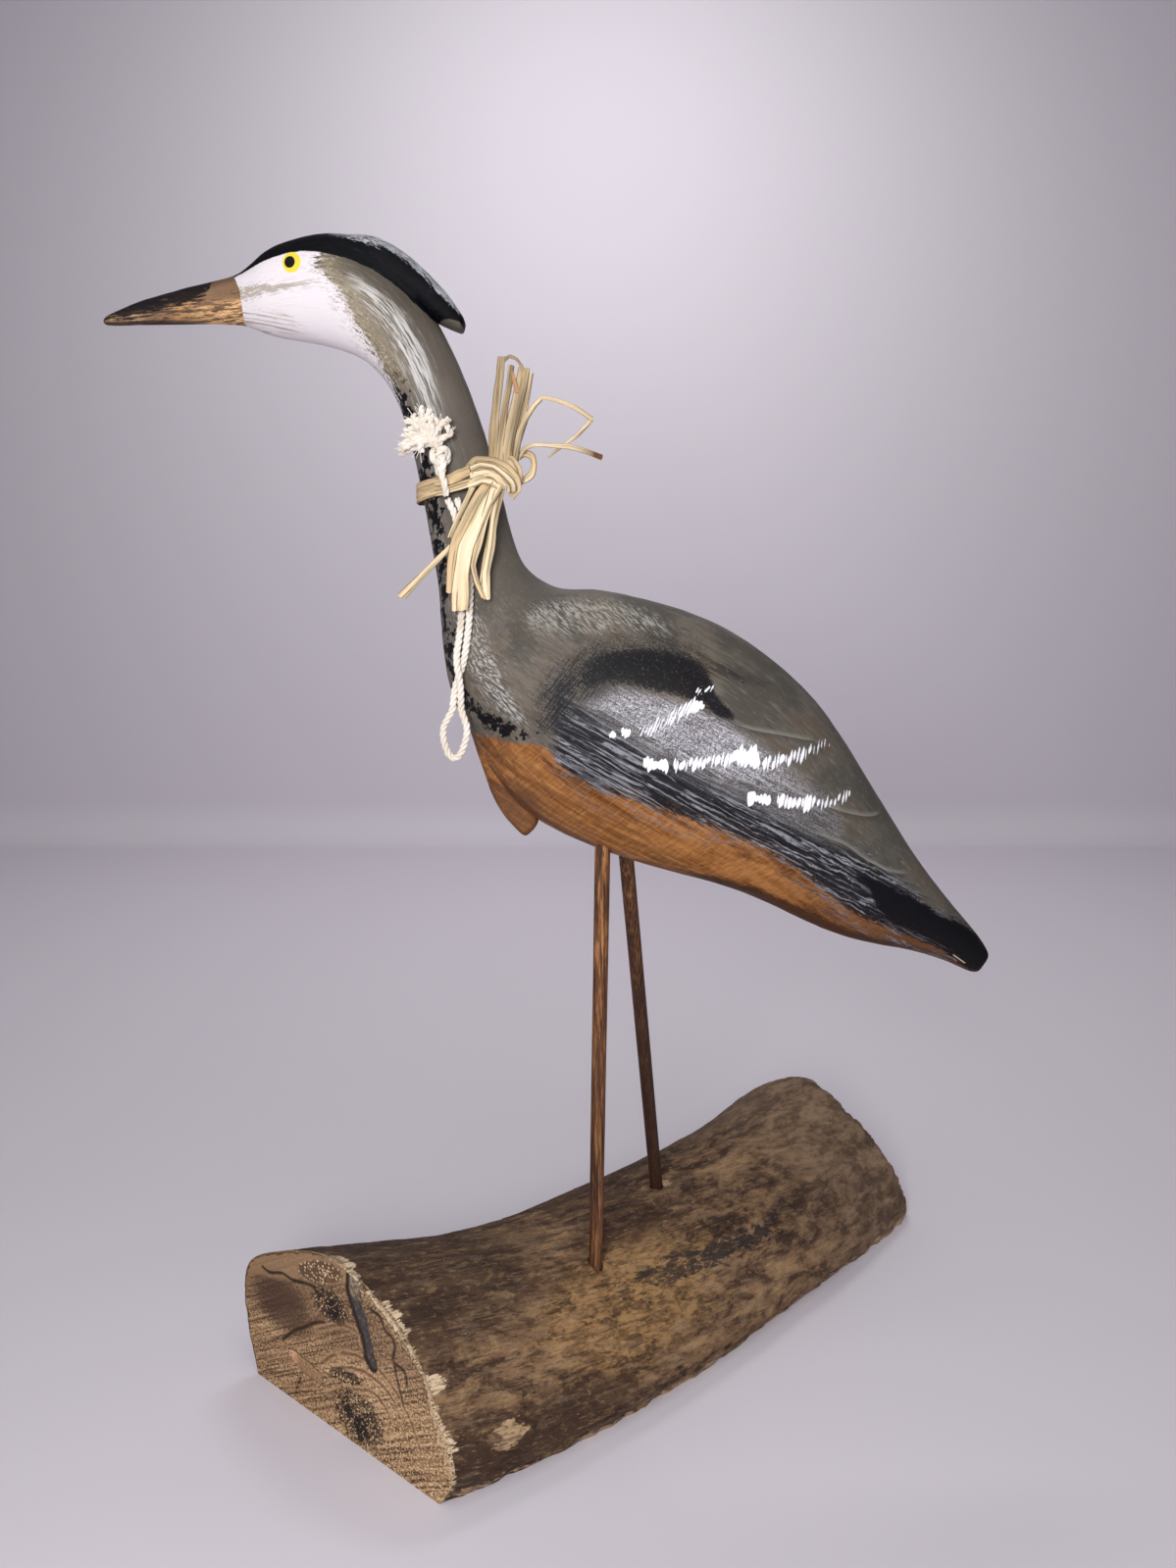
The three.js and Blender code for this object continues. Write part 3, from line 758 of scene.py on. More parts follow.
paint = {
    "beakEdge": [
        (372.3, -127.7), (374.4, -126.9), (377.1, -126.9), (380.7, -127.1), (383.9, -128.1),
        (386.5, -129.5),
    ],
    "beakDark": [
        (-176, 374.6), (-172.2, 375.3), (-167.2, 375.3), (-162.9, 375.6), (-158.5, 376.3),
        (-153.6, 377.2), (-149.8, 378.2), (-144.4, 379.3), (-140.4, 381.2), (-138, 384), (-136.6, 387.5),
        (-130, 391),
    ],
    "capEdge": [
        (-131, 386), (-128.9, 386.8), (-123.9, 388.6), (-119.2, 390.1), (-115, 391.5), (-110.8, 392.6),
        (-105.6, 393.1), (-100.5, 392.7), (-95.4, 391.7), (-90.5, 390.5), (-84.6, 388.1), (-79.8, 385.6),
        (-75.9, 383), (-73, 380.7), (-70.6, 378.3), (-66.4, 375), (-62.9, 372.9), (-60.6, 373.2),
        (-56.4, 372.9), (-54.2, 371.2), (-52.6, 370.6),
    ],
    "crownRim": [
        (-101, 402.4), (-97.2, 400), (-89.9, 397.9), (-84.1, 395.7), (-78.7, 394.6), (-73.9, 392.3),
        (-70, 389.2), (-67, 386.5), (-64, 383.2), (-61.1, 380.5), (-57.3, 377), (-53, 374),
    ],
    "faceEdge": [
        (344.5, -75.6), (349, -76.6), (354, -78.4), (358, -80.8), (362, -83.2), (366, -85.4), (370, -88),
        (374, -90.2), (378, -92), (382, -94.2), (385.4, -97.6), (388.5, -100.2), (391.3, -99.6),
        (394, -97),
    ],
    "bellyEdge": [
        (-60, 236), (-45.7, 235.2), (-38.1, 233.6), (-29.7, 233.6), (-25.8, 231.9), (-22.9, 227.7),
        (-16.1, 222.2), (-7.7, 217.8), (1.4, 215.6), (11.8, 212), (22.4, 208.2), (32.9, 204.3),
        (46.1, 198.6), (57.9, 190.6), (70.5, 180.5), (82.6, 172), (96.8, 165.8), (109.4, 160),
        (118.3, 154), (124, 149.5), (130, 147),
    ],
    "bandTop": [
        (-30, 252), (-23.8, 250.9), (-17.3, 248.2), (-11.8, 244.4), (-5.2, 239), (3.5, 233.6),
        (12.3, 228), (21.2, 223.6), (32.3, 217.9), (43.7, 212.1), (55.4, 206), (67.2, 201),
        (79.4, 194.6), (92.1, 187.3), (104, 178),
    ],
    "feathers": [
        [(32.5, 242.1), (37.8, 239.8), (44.1, 238.1), (50.9, 236.9), (57.8, 235.4), (63, 234.3)],
        [
            (40, 225.5), (46.1, 222.9), (52.6, 220.2), (58.2, 216.9), (69.6, 211.8), (77.3, 209.3),
            (84.7, 208), (88.4, 208.4),
        ],
        [(60, 205), (69.9, 201), (74, 199.2), (80.8, 194.5), (87.7, 190.4), (92.9, 188.3), (98, 187.2)],
    ],
    # rows of white dabs: their line, half height, half width beside the space of one, space and lean
    "dabRows": [
        {
            "line": [
                (-8, 237.6), (-4.5, 237.9), (-0.3, 238.5), (5.7, 238.2), (10, 240.4), (14.4, 242.8),
                (18.8, 245.4), (22, 246.6), (26, 246.2),
            ],
            "height": [
                (-5.9, 0), (-5.4, 1.7), (-3.9, 1.7), (-3.2, 0), (-2.2, 0), (-1.6, 1.9), (0.8, 2),
                (1.7, 0), (3.6, 0), (4.4, 2.1), (9, 2.6), (14, 2.9), (19, 3), (23.2, 2.4), (25.2, 1.6),
                (25.8, 0),
            ],
            "wide": [
                (-5, 0.7), (1.4, 0.8), (4.4, 0.3), (9, 0.34), (14, 0.38), (18, 0.5), (21, 0.72),
                (23.6, 0.8), (25, 0.6),
            ],
            "space": 1.35,
            "lean": 0.55,
        },
        {
            "line": [(22, 250.6), (25, 251.6), (29, 252)],
            "height": [
                (22.3, 0), (22.8, 1.5), (24.4, 1.2), (24.9, 0), (25.5, 1.7), (28.2, 1.3), (28.8, 0),
            ],
            "wide": [(22, 0.36), (29, 0.4)],
            "space": 1.3,
            "lean": 0.7,
        },
        {
            "line": [
                (2, 228), (6.8, 228), (12.9, 227.5), (16.2, 226.9), (21.1, 228), (27.7, 228.5),
                (32.1, 228.8), (36.6, 229.6), (39.9, 229.4), (43.3, 229), (46.2, 227.7), (51.4, 228.3),
                (58.5, 230.2), (67.5, 232.9), (71, 234),
            ],
            "height": [
                (5.3, 0), (6.1, 2.9), (9.4, 2.2), (12.6, 2.9), (13.5, 1.8), (14.2, 0), (15.1, 0),
                (15.8, 2.5), (18.5, 2.1), (22, 2.5), (27, 2.7), (32, 2.8), (36, 3.3), (38, 4.4),
                (40, 2.6), (41.8, 4.6), (43.6, 3.2), (44.5, 0.3), (45.4, 2.9), (50, 3), (55, 2.8),
                (60, 2.3), (65, 2), (68, 1.4), (70, 0),
            ],
            "wide": [
                (6, 0.95), (13.4, 0.95), (15.6, 0.72), (19, 0.5), (26, 0.5), (32, 0.6), (35.4, 0.9),
                (43.6, 1), (45.6, 0.66), (52, 0.5), (60, 0.34), (69, 0.24),
            ],
            "space": 1.45,
            "lean": 0.22,
        },
        {
            "line": [
                (38, 216.4), (41.4, 216.1), (47.6, 215.7), (50.5, 214.4), (55, 214.6), (59.7, 214.2),
                (64.4, 213.9), (70.5, 214.3), (75.6, 216.4), (78, 217.6),
            ],
            "height": [
                (39.9, 0), (40.6, 3.1), (44, 2.1), (47.4, 2.9), (48.3, 0), (49.6, 0), (50.4, 2.2),
                (54, 3), (58, 3.5), (61.5, 3.3), (64, 1.8), (66, 2.3), (70, 2.4), (74, 2), (76.4, 0),
            ],
            "wide": [
                (40, 1), (47.4, 0.95), (50, 0.6), (54, 0.7), (60, 0.66), (64, 0.46), (70, 0.34),
                (76, 0.26),
            ],
            "space": 1.45,
            "lean": 0.2,
        },
    ],
    "pupil": (-109.6, 389.7, 1.75),
    "ring": (-109, 389.6, 3.05),
}


def heronFinish():
    f = Finish("paintedWood")
    x, z = f.x, f.z
    side = abs(f.y - birdPlane)
    held = f.held("run", "rise", *strokes)
    run, rise = held["run"], held["rise"]

    def brushed(along, across, seed, detail=3, rough=0.6):
        return f.noise((run * along + seed, rise * across, side * across), 1, detail, rough)

    # brush marks along the bird: broad, fine and dry, then across it, slanted, cloudy and speckled
    streak = brushed(0.035, 0.5, 9)
    hair = brushed(0.1, 1.9, 0)
    dry = brushed(0.24, 2.7, 2, 5, 0.75)
    cross = brushed(1.5, 0.16, 4, 2)
    slant = f.noise(((x + z) * 1.35, (x - z) * 0.11, side * 0.5), 1, 4, 0.65)
    cloud = f.noise((x, side + 5, z), 0.05, 3, 0.5)
    grain = f.noise(f.spot, 2.6, 3, 0.7)
    fleck = f.noise(f.spot, 1.2, 4, 0.8)

    # stained wood, which the belly and the tuft leave bare
    bands = brushed(0.005, 0.24, 3, 3, 0.55)
    ticks = brushed(1.2, 0.15, 6, 2)
    wood = f.ramp(
        bands * 0.7 + hair * 0.3,
        (0.34, 104, 62, 30), (0.44, 136, 86, 44), (0.52, 158, 104, 56), (0.6, 174, 120, 70),
        (0.72, 146, 94, 50),
    )
    wood = f.layers(
        wood,
        ((84, 50, 26), (ticks, 0.49, 0.6), 0.4),
        ((196, 144, 90), (cross, 0.53, 0.64), 0.34),
        ((84, 48, 26), (bands + (hair - 0.5) * 0.2, 0.45, 0.38), 0.5),
        # painted shade: the bare wood darker under the tail
        ((84, 54, 36), (x, 40, 104), 0.85),
        ((176, 118, 62), (ticks * 0.6 + dry * 0.4, 0.54, 0.6), (x, 90, 50), 0.4),
        # painted shade: darker low on the belly, in a strip along its lower edge, and on the tuft behind
        # the breast
        ((70, 42, 30), (rise, -24, -33), (streak, 0.4, 0.55), 0.45),
        ((58, 37, 29), (held["underside"] + (hair - 0.5) * 6, 0.9, -0.6), 0.85),
        ((86, 58, 42), (z, 224, 212), (x, -24, -32), 0.55),
    )

    # olive taupe ground
    body = f.over((108, 101, 92), (82, 77, 70), (cloud + streak * 0.3 - hair * 0.15, 0.46, 0.66))
    body = f.layers(
        body,
        ((76, 74, 67), (run, 235, 350), 0.6),
        ((140, 128, 112), (run, 150, 80), (rise, 9, -2), 0.8),
        ((86, 78, 68), (run, 170, 100), (rise, 0, 9), 0.5),
        ((112, 92, 70), (run, 190, 110), (streak * 0.5 + hair * 0.5, 0.53, 0.6), 0.4),
        ((94, 76, 58), (cloud, 0.5, 0.38), (streak, 0.46, 0.56), 0.45),
        ((152, 147, 139), (hair * 0.6 + slant * 0.4, 0.54, 0.66), 0.34),
        ((56, 52, 46), (hair * 0.7 + dry * 0.3, 0.46, 0.35), 0.45),
        ((72, 64, 56), (run, 90, 120), (run, 215, 180), (rise, 2, 9), 0.45),
        ((124, 116, 107), (run, 100, 130), (run, 225, 190), 0.35),
    )
    for name, pattern, colour, low, high, most in (
        ("neck", hair * 0.55 + streak * 0.45, (214, 212, 209), 0.45, 0.55, 0.85),
        ("breast", slant * 0.5 + hair * 0.5, (196, 194, 190), 0.49, 0.56, 0.7),
        ("shoulder", slant * 0.75 + hair * 0.25, (190, 187, 178), 0.46, 0.57, 0.52),
    ):
        near = f.step(held[name] * -1 + (pattern - 0.5) * 12, -1.6, 3.4)
        body = f.over(body, colour, near, (pattern, low, high), most)

    # silver wing with painted glints, the dark streaks below it and the black arc above it
    belowTop = z - f.line(x, paint["bandTop"])
    bandAlong, bandAcross = x * 0.88 - z * 0.48, x * 0.48 + z * 0.88 + (streak - 0.5) * 3
    sweep = f.noise((bandAlong * 0.03, bandAcross * 0.9, 12), 1, 3, 0.6)
    scratch = f.noise((bandAlong * 0.08, bandAcross * 2.1, 17), 1, 4, 0.72)
    scrape = f.noise((bandAlong * 0.05, bandAcross * 1.15, 23), 1, 3, 0.65)
    rubbed = grain * 0.45 + fleck * 0.25 + scratch * 0.3
    silver = f.over((84, 81, 85), (188, 185, 191), (rubbed, 0.455, 0.545))
    # near-white flecks: painted glints on the silver paint
    silver = f.over(silver, (250, 248, 250), (fleck, 0.57, 0.64), 0.75)
    silverNear = held["silver"] * -1 + (dry - 0.5) * 8 + (scratch - 0.5) * 8 + (grain - 0.5) * 6
    silverNear = f.step(silverNear, -1, 4)
    silverNear = silverNear * (1 - f.step(x, 40, 66) * 0.75)
    skirtNear = f.step(held["skirt"] * -1 + (scratch - 0.5) * 14 + (grain - 0.5) * 6, -1.5, 3)
    skirt = f.over((62, 60, 62), (136, 134, 138), (scratch * 0.5 + grain * 0.5, 0.45, 0.57))
    wing = f.over(body, skirt, skirtNear, 0.8)
    wing = f.over(wing, silver, silverNear, 0.9)
    hazeNear = f.step(held["haze"] * -1 + (sweep - 0.5) * 10, -1, 3)
    wing = f.over(wing, (46, 41, 39), hazeNear, (scratch, 0.43, 0.52), 0.8)
    aboveBand = belowTop + (sweep - 0.5) * 14 + (grain - 0.5) * 8
    inBand = f.mask((aboveBand, 3.5, -3.5), (x + (dry - 0.5) * 10, -27, -21), (x, 122, 108))
    bluish = f.over((57, 55, 60), (145, 147, 154), (scrape * 0.45 + scratch * 0.55, 0.46, 0.57))
    wing = f.over(wing, bluish, inBand, 0.9)
    lower = f.mask((x, 24, -6), (belowTop, -7, -20))
    ink = f.step(scrape * -0.5 + scratch * 0.2 + sweep * 0.3 - lower * 0.03, -0.032, -0.006)
    wing = f.over(wing, (21, 20, 24), inBand, ink, 0.94)
    thin = f.step(x, 29, 25)
    fan = f.noise(((x * 0.62 + z * 0.78) * 0.1, (x * 0.78 - z * 0.62) * 1.5, 5), 1, 4, 0.7)
    arc = held["blackArc"] * -1 + ((dry - 0.5) * 9 + (fleck - 0.5) * 9) * (thin * 0.75 + 0.25)
    wing = f.over(wing, (22, 21, 24), (arc, -6.5, -1), (fan, 0.47, 0.53), (x, -4, -12), 0.9)
    arcLine = [point[:2] for point in strokes["blackArc"]]
    loose = 1 - f.step(x, -10, 0) * f.step(z - f.line(x, arcLine), 1, -2)
    speck = f.step(scratch * 0.3 + grain * 0.7, 0.48, 0.53)
    wing = f.over(wing, (36, 34, 36), (arc, -9, -1.5), speck, loose, thin, 0.85)
    solid = f.step(x + (dry - 0.5) * 24, -16, -2)
    wing = f.layers(
        wing,
        ((15, 15, 18), (arc, -0.8, 0.4), (dry * 0.5 + grain * 0.5 + solid, 0.46, 0.54), 0.96),
        ((92, 84, 90), (arc, 0, 1), (fleck, 0.58, 0.64), 0.6),
        ((78, 74, 78), (arc, 3.2, 0.4), (arc, -0.6, 0.4), (grain, 0.56, 0.64), 0.5),
    )
    for feather in paint["feathers"]:
        low, high = feather[0][0], feather[-1][0]
        above = z - f.line(x, feather)
        within = f.mask((x, low, low + 8), (x, high + 1, high - 3))
        wing = f.layers(
            wing,
            ((150, 148, 138), (above, -0.2, 0.05), (above, 1.8, 0.1), within, 0.42),
            ((58, 55, 50), (above, -2.6, -0.3), (above, 0.05, -0.2), within, 0.4),
        )
    tail = f.step(held["tailBlack"] * -1 + (scratch - 0.5) * 9 + (grain - 0.5) * 3, -0.9, 0.3)
    wing = f.over(wing, (13, 13, 17), tail)
    tailLine = abs(z - 156.7 + (x - 117) * 0.72)
    wing = f.over(wing, (190, 178, 150), (tailLine, 0.34, 0.16), (x, 116.6, 117.4), (x, 122, 121.2))

    # ground down to the belly line, with thin stray streaks past it
    edge = z - f.line(x, paint["bellyEdge"])
    painted = f.step(edge + (hair - 0.5) * 6 + (dry - 0.5) * 6, -0.3, 0.6)
    stray = f.mask((edge, -10, -2), (edge, 3, 1), (scrape * 0.6 + sweep * 0.4, 0.52, 0.55), (x, -32, -22))
    colour = f.over(wood, wing, painted)
    colour = f.layers(
        colour,
        (f.over((50, 48, 52), (124, 124, 130), (scratch, 0.46, 0.54)), stray, 0.85),
        (wood, (edge, 7, 1), (dry, 0.56, 0.64), (x, -26, -16), 0.7),
    )

    # white dabs, each a stroke of its own height, width and place
    for number, row in enumerate(paint["dabRows"]):
        off = z - f.line(x, row["line"])
        place = (x - off * row["lean"] + (f.noise((x, 3 * number, 0), 0.5, 1) - 0.5) * 2.4) / row["space"]
        cell = place.maths("FLOOR")
        chances = [f.chance(cell + 31.7 * number + 7.3 * k) for k in range(3)]
        tall = f.line(x, row["height"]) * (0.55 + chances[0] * 0.6)
        shift = (off + (chances[1] - 0.5) * 1.5) / tall.maths("MAXIMUM", 0.05)
        wide = f.line(x, row["wide"]) * (0.6 + chances[2] * 0.75)
        inside = wide * (1 - shift * shift) - abs(place.maths("FRACT") - 0.5) + (fleck - 0.5) * 0.5
        mask = f.mask((inside, -0.02, 0.08), (tall, 0.3, 0.8))
        colour = f.over(colour, f.over((206, 206, 214), (246, 245, 250), (inside, 0, 0.2)), mask, 0.96)

    # front of the neck: dabs of black beside the middle, which stays pale
    dabNoise = f.noise((run * 0.2, rise * 0.3, 1.2), 1, 2, 0.6)
    ragged = f.noise(f.spot, 0.95, 4, 0.75)
    blob = f.noise(f.spot, 0.4, 2, 0.5)
    spread = f.step(dabNoise, 0.45, 0.52) * 2.3 + f.step(z, 336, 348) * 1.4 + (blob - 0.5) * 13
    dabs = f.step(spread + (ragged - 0.5) * 5 - held["dabLine"], -0.1, 0.2)
    front = f.mask((held["dabLine"] * -1 + 3.4, 0, 1), (z, 240, 262), (z, 350, 335))
    colour = f.layers(
        colour,
        ((150, 144, 138), front, (hair, 0.44, 0.58), 0.45),
        ((20, 20, 24), dabs, (z, 243, 247), (z, 357, 354)),
    )
    blot = f.noise(f.spot, 0.3, 3, 0.6)
    blots = f.step((ragged - 0.5) * 9 + (blot - 0.53) * 14 - held["breastDark"], 0, 0.5)
    colour = f.over(colour, (16, 15, 19), blots, painted)

    # face
    toothed = brushed(0.32, 1.3, 0)
    faceLine = f.line(z, paint["faceEdge"])
    pale = f.mask((faceLine - x + (toothed - 0.5) * 14 + (fleck - 0.5) * 9, -0.3, 0.5), (z, 343, 346))
    fringe = f.mask((x - faceLine + (toothed - 0.5) * 14, 11, 1), (z, 348, 356))
    colour = f.layers(
        colour,
        ((158, 146, 122), fringe, (toothed * 0.7 + fleck * 0.3, 0.4, 0.52), 0.75),
        ((226, 214, 192), fringe, (fleck * 0.6 + toothed * 0.4, 0.56, 0.59), 0.8),
    )
    white = f.over((232, 225, 228), (206, 196, 190), (hair, 0.54, 0.74), 0.5)
    wedge = (383.2 - z).maths("MINIMUM", z - 378.4 - (x + 127) * 0.165)
    white = f.layers(
        white,
        ((164, 148, 128), (wedge + (hair - 0.5) * 4, -0.2, 0.9), (hair, 0.34, 0.5), 0.85),
        ((186, 180, 176), (wedge + 1.6, 0, 1.2), (hair, 0.5, 0.6), (x, -98, -106), 0.6),
    )
    jawLine = f.noise((x * 0.06, (z + (x + 126) * 0.2) * 1.7, 0), 1, 3, 0.65)
    tip = x + 127
    jaw = f.mask((z + tip * 0.1, 369.5, 371.5), (z + tip * 0.2, 378.2, 376.4), (x, -104, -114))
    white = f.layers(
        white,
        ((150, 130, 108), jaw, (jawLine, 0.51, 0.58), 0.7),
        ((150, 132, 108), (faceLine - x, 8, 1), (toothed * 0.6 + fleck * 0.4, 0.53, 0.58), 0.7),
    )
    colour = f.over(colour, white, pale)

    # beak
    beakLine = f.line(z, paint["beakEdge"])
    onBeak = f.step(beakLine - x, -0.15, 0.25)
    mottle = f.noise((x * 0.16, side * 0.2, (z - (x + 176) * 0.06) * 1.7), 1, 5, 0.75)
    horn = f.over((190, 146, 100), (112, 86, 66), (mottle, 0.44, 0.58))
    low = f.step(z - 378.6 - (x + 128) * 0.1 + (mottle - 0.5) * 7, 0.8, -0.8)
    horn = f.layers(
        horn,
        ((248, 202, 146), low, (x, -152, -132), (mottle, 0.53, 0.45), 0.8),
        ((212, 176, 138), (x, -159, -162), (mottle, 0.56, 0.48), 0.7),
        ((108, 88, 76), (x, -164, -160), (x, -149, -154), 0.6),
        ((128, 102, 80), (z - 378 - (x + 128) * 0.1, 0, 3), (x, -150, -134), 0.92),
        ((96, 74, 58), (z - 384.5 - (x + 128) * 0.25, 0, 2.5), 0.7),
    )
    blackTop = f.step(z - f.line(x, paint["beakDark"]) + (mottle - 0.5) * 13, -1.6, 0)
    horn = f.layers(
        horn,
        ((22, 21, 25), blackTop, 0.97),
        ((150, 118, 90), blackTop, (mottle, 0.6, 0.66), 0.5),
    )
    mouth = abs(z - 375.7 - (x + 176) * 0.012 + (mottle - 0.5) * 2.4)
    horn = f.layers(
        horn,
        ((52, 40, 36), (mouth, 0.5, 0.2), (x, -128, -140), 0.7),
        ((46, 36, 32), (mottle, 0.41, 0.36), 0.85),
        ((40, 33, 30), (z + (mottle - 0.5) * 3, 373.9, 373.2), (x, -138, -150), 0.9),
    )
    colour = f.over(colour, horn, onBeak)

    # black cap with a brushed pale rim
    onCap = f.mask((z - f.line(x, paint["capEdge"]) + (toothed - 0.5) * 1.2, -0.15, 0.25), 1 - onBeak)
    onCap = onCap * f.step(x, -50, -51) * f.step(z, 368, 369)
    ink = f.over((6, 7, 11), (34, 38, 50), (hair, 0.56, 0.7), 0.6)
    rimOff = z - f.line(x, paint["crownRim"]) + (hair - 0.5) * 5 + (fleck - 0.5) * 4
    broken = hair * 0.5 + dry * 0.5
    rim = f.mask((rimOff, -0.4, 0.7), (x + (hair - 0.5) * 36, -103, -88), (broken, 0.4, 0.52))
    ink = f.over(ink, f.over((150, 152, 158), (214, 214, 216), (dry, 0.45, 0.6)), rim, 0.9)
    colour = f.over(colour, ink, onCap)

    # eye
    def within(place):
        offX, offZ = x - place[0], (z - place[1]) * 0.9
        away = (offX * offX + offZ * offZ).maths("SQRT")
        return f.step(away, place[2] + 0.1, place[2] - 0.1) * f.step(side, 3, 4)

    pupil = within(paint["pupil"])
    colour = f.layers(
        colour,
        ((240, 214, 72), within(paint["ring"])),
        ((12, 12, 14), pupil),
    )

    height = hair * 0.45 + dry * 0.35 + grain * 0.2
    roughness = 0.5 + (hair - 0.5) * 0.5 + onCap * 0.12 - pupil * 0.3
    gloss = pupil * 0.6
    fixed = {"Coat Roughness": 0.25, "Specular IOR Level": 0.12}
    return f.surface(colour, roughness, height, 0.2, gloss, **fixed)


heronBody = makeHeron()
dress(heronBody, heronFinish(), "painted_wood", "heron_body")
print("heron ready", len(heronBody.data.polygons))


# ---- dowel legs ----

def makeLeg(name, leg):
    top, bottom = legLine(leg, 0)
    across, through = carriedFrames(np.linspace(top, bottom, 4))[0]
    rings = []
    for r in range(legs["rings"] + 1):
        share = r / legs["rings"]
        at = top + (bottom - top) * share
        radius = legs["radii"][0] + (legs["radii"][1] - legs["radii"][0]) * share
        ring = []
        for i in range(legs["sides"]):
            angle = 2 * math.pi * i / legs["sides"]
            c, s = math.cos(angle), math.sin(angle)
            nick = noise.noise(Vector((c * 2.4 + leg["foot"][0], s * 2.4, share * 4)))
            ring.append(at + (across * c + through * s) * (radius - legs["nicks"] * max(0, nick)))
        rings.append(ring)
    piece = loftByExtruding(name, rings)
    smoothByAngle(piece, legs["smoothAngle"])
    return piece


def dowelFinish():
    f = Finish("stainedDowel")
    fibre = f.noise((f.x * 1.5, f.y * 1.5, f.z * 0.035), 1, 4, 0.65)
    pore = f.noise((f.x * 3.6, f.y * 3.6, f.z * 0.13), 1, 3, 0.7)
    soil = f.noise((f.x * 0.3, f.y * 0.3, f.z * 0.03), 1, 2, 0.5)
    colour = f.ramp(
        fibre,
        (0.34, 46, 26, 17), (0.44, 96, 58, 34), (0.54, 150, 100, 58), (0.66, 188, 136, 88),
    )
    colour = f.layers(
        colour,
        ((34, 19, 13), (pore, 0.52, 0.58), 0.85),
        ((48, 27, 18), (soil, 0.52, 0.62), 0.6),
        # darker towards the bottom of the legs, and painted shade on the far leg
        ((46, 26, 18), f.step(f.z, 205, 80) * 0.42 + f.step(f.y, -46, -34) * 0.5),
    )
    height = fibre * 0.5 + pore * 0.5
    fixed = {"Coat Roughness": 0.3, "Specular IOR Level": 0.25}
    return f.surface(colour, 0.5 + pore * 0.2, height, 0.14, 0.05, **fixed)


dowel = dowelFinish()
nearLeg = makeLeg("nearLeg", legs["near"])
farLeg = makeLeg("farLeg", legs["far"])
dress(nearLeg, dowel, "stained_dowel", "near_leg")
dress(farLeg, dowel, "stained_dowel", "far_leg")
print("legs ready")


# ---- driftwood base ----

log = {
    "corner": (-59.3, -119.8, 0),
    "heading": math.radians(42.4),
    "length": 267,
    "cutSkew": 0.118,
    "cutReach": 40,
    "stations": [
        (0, 0, 98.5, 62), (22, -5, 100, 57), (52, -8.8, 99, 52), (90, -11, 97.5, 48.5),
        (130, -10.2, 96.5, 48), (170, -7, 96, 47.5), (210, -4.6, 95.5, 49.5), (240, -2.5, 95, 53),
        (258, -0.5, 93, 52.5), (267, 4, 87, 48.5),
    ],
    "sawn": [
        (0, 0), (-0.064, 0.16), (-0.05, 0.31), (0.02, 0.51), (0.12, 0.74), (0.28, 0.9), (0.51, 1),
        (0.74, 0.94), (0.96, 0.78), (1.06, 0.6), (1.055, 0.3), (1, 0),
    ],
    "round": [
        (0, 0), (-0.05, 0.16), (-0.035, 0.33), (0.03, 0.53), (0.12, 0.73), (0.27, 0.92), (0.46, 1),
        (0.68, 0.94), (0.84, 0.76), (0.95, 0.55), (1, 0.28), (1, 0),
    ],
    "worn": [
        (0, 0), (-0.012, 0.12), (0.03, 0.29), (0.09, 0.45), (0.19, 0.62), (0.34, 0.8), (0.56, 1),
        (0.72, 0.97), (0.87, 0.83), (0.99, 0.6), (1.01, 0.3), (1, 0),
    ],
    "roundSides": 34,
    "flatSides": 6,
    "ringShares": (
        0, 0.005, 0.015, 0.03, 0.05, 0.08, 0.12, 0.17, 0.225, 0.28, 0.335, 0.39, 0.445, 0.5, 0.555, 0.61,
        0.665, 0.72, 0.775, 0.83, 0.88, 0.925, 0.96, 0.985, 1,
    ),
    "sawnShares": (0.1, 0.28, 0.5, 0.7, 0.86, 0.96, 0.992),
    "wornShares": (0.3, 0.7, 0.93),
    "roundOver": (0, 60),
    "wornFrom": 185,
    "askew": 0.15,
    "settle": 0.0003,
    # depths of the relief, in mm
    "side": {"ridges": 0.4, "furrows": 0.34, "lumps": 0.55, "pits": 0.8, "sunk": 0.3, "bevel": 0.4},
    "face": {
        "sawLines": 0.08, "rough": 0.16, "sunk": 0.35, "cracks": 0.8, "slot": 1.1, "sliver": 0.5,
        "knots": 0.4, "knotRough": 0.9, "bevel": 0.9,
    },
    "raggedEdge": (0.15, 1.4),
    "farEnd": (0.2, 1.5, -0.3),
    "farEndFrom": (252, 264),
    "smoothAngle": 60,
}
logAlong = np.array([math.cos(log["heading"]), math.sin(log["heading"]), 0])
logInward = np.array([-logAlong[1], logAlong[0], 0])
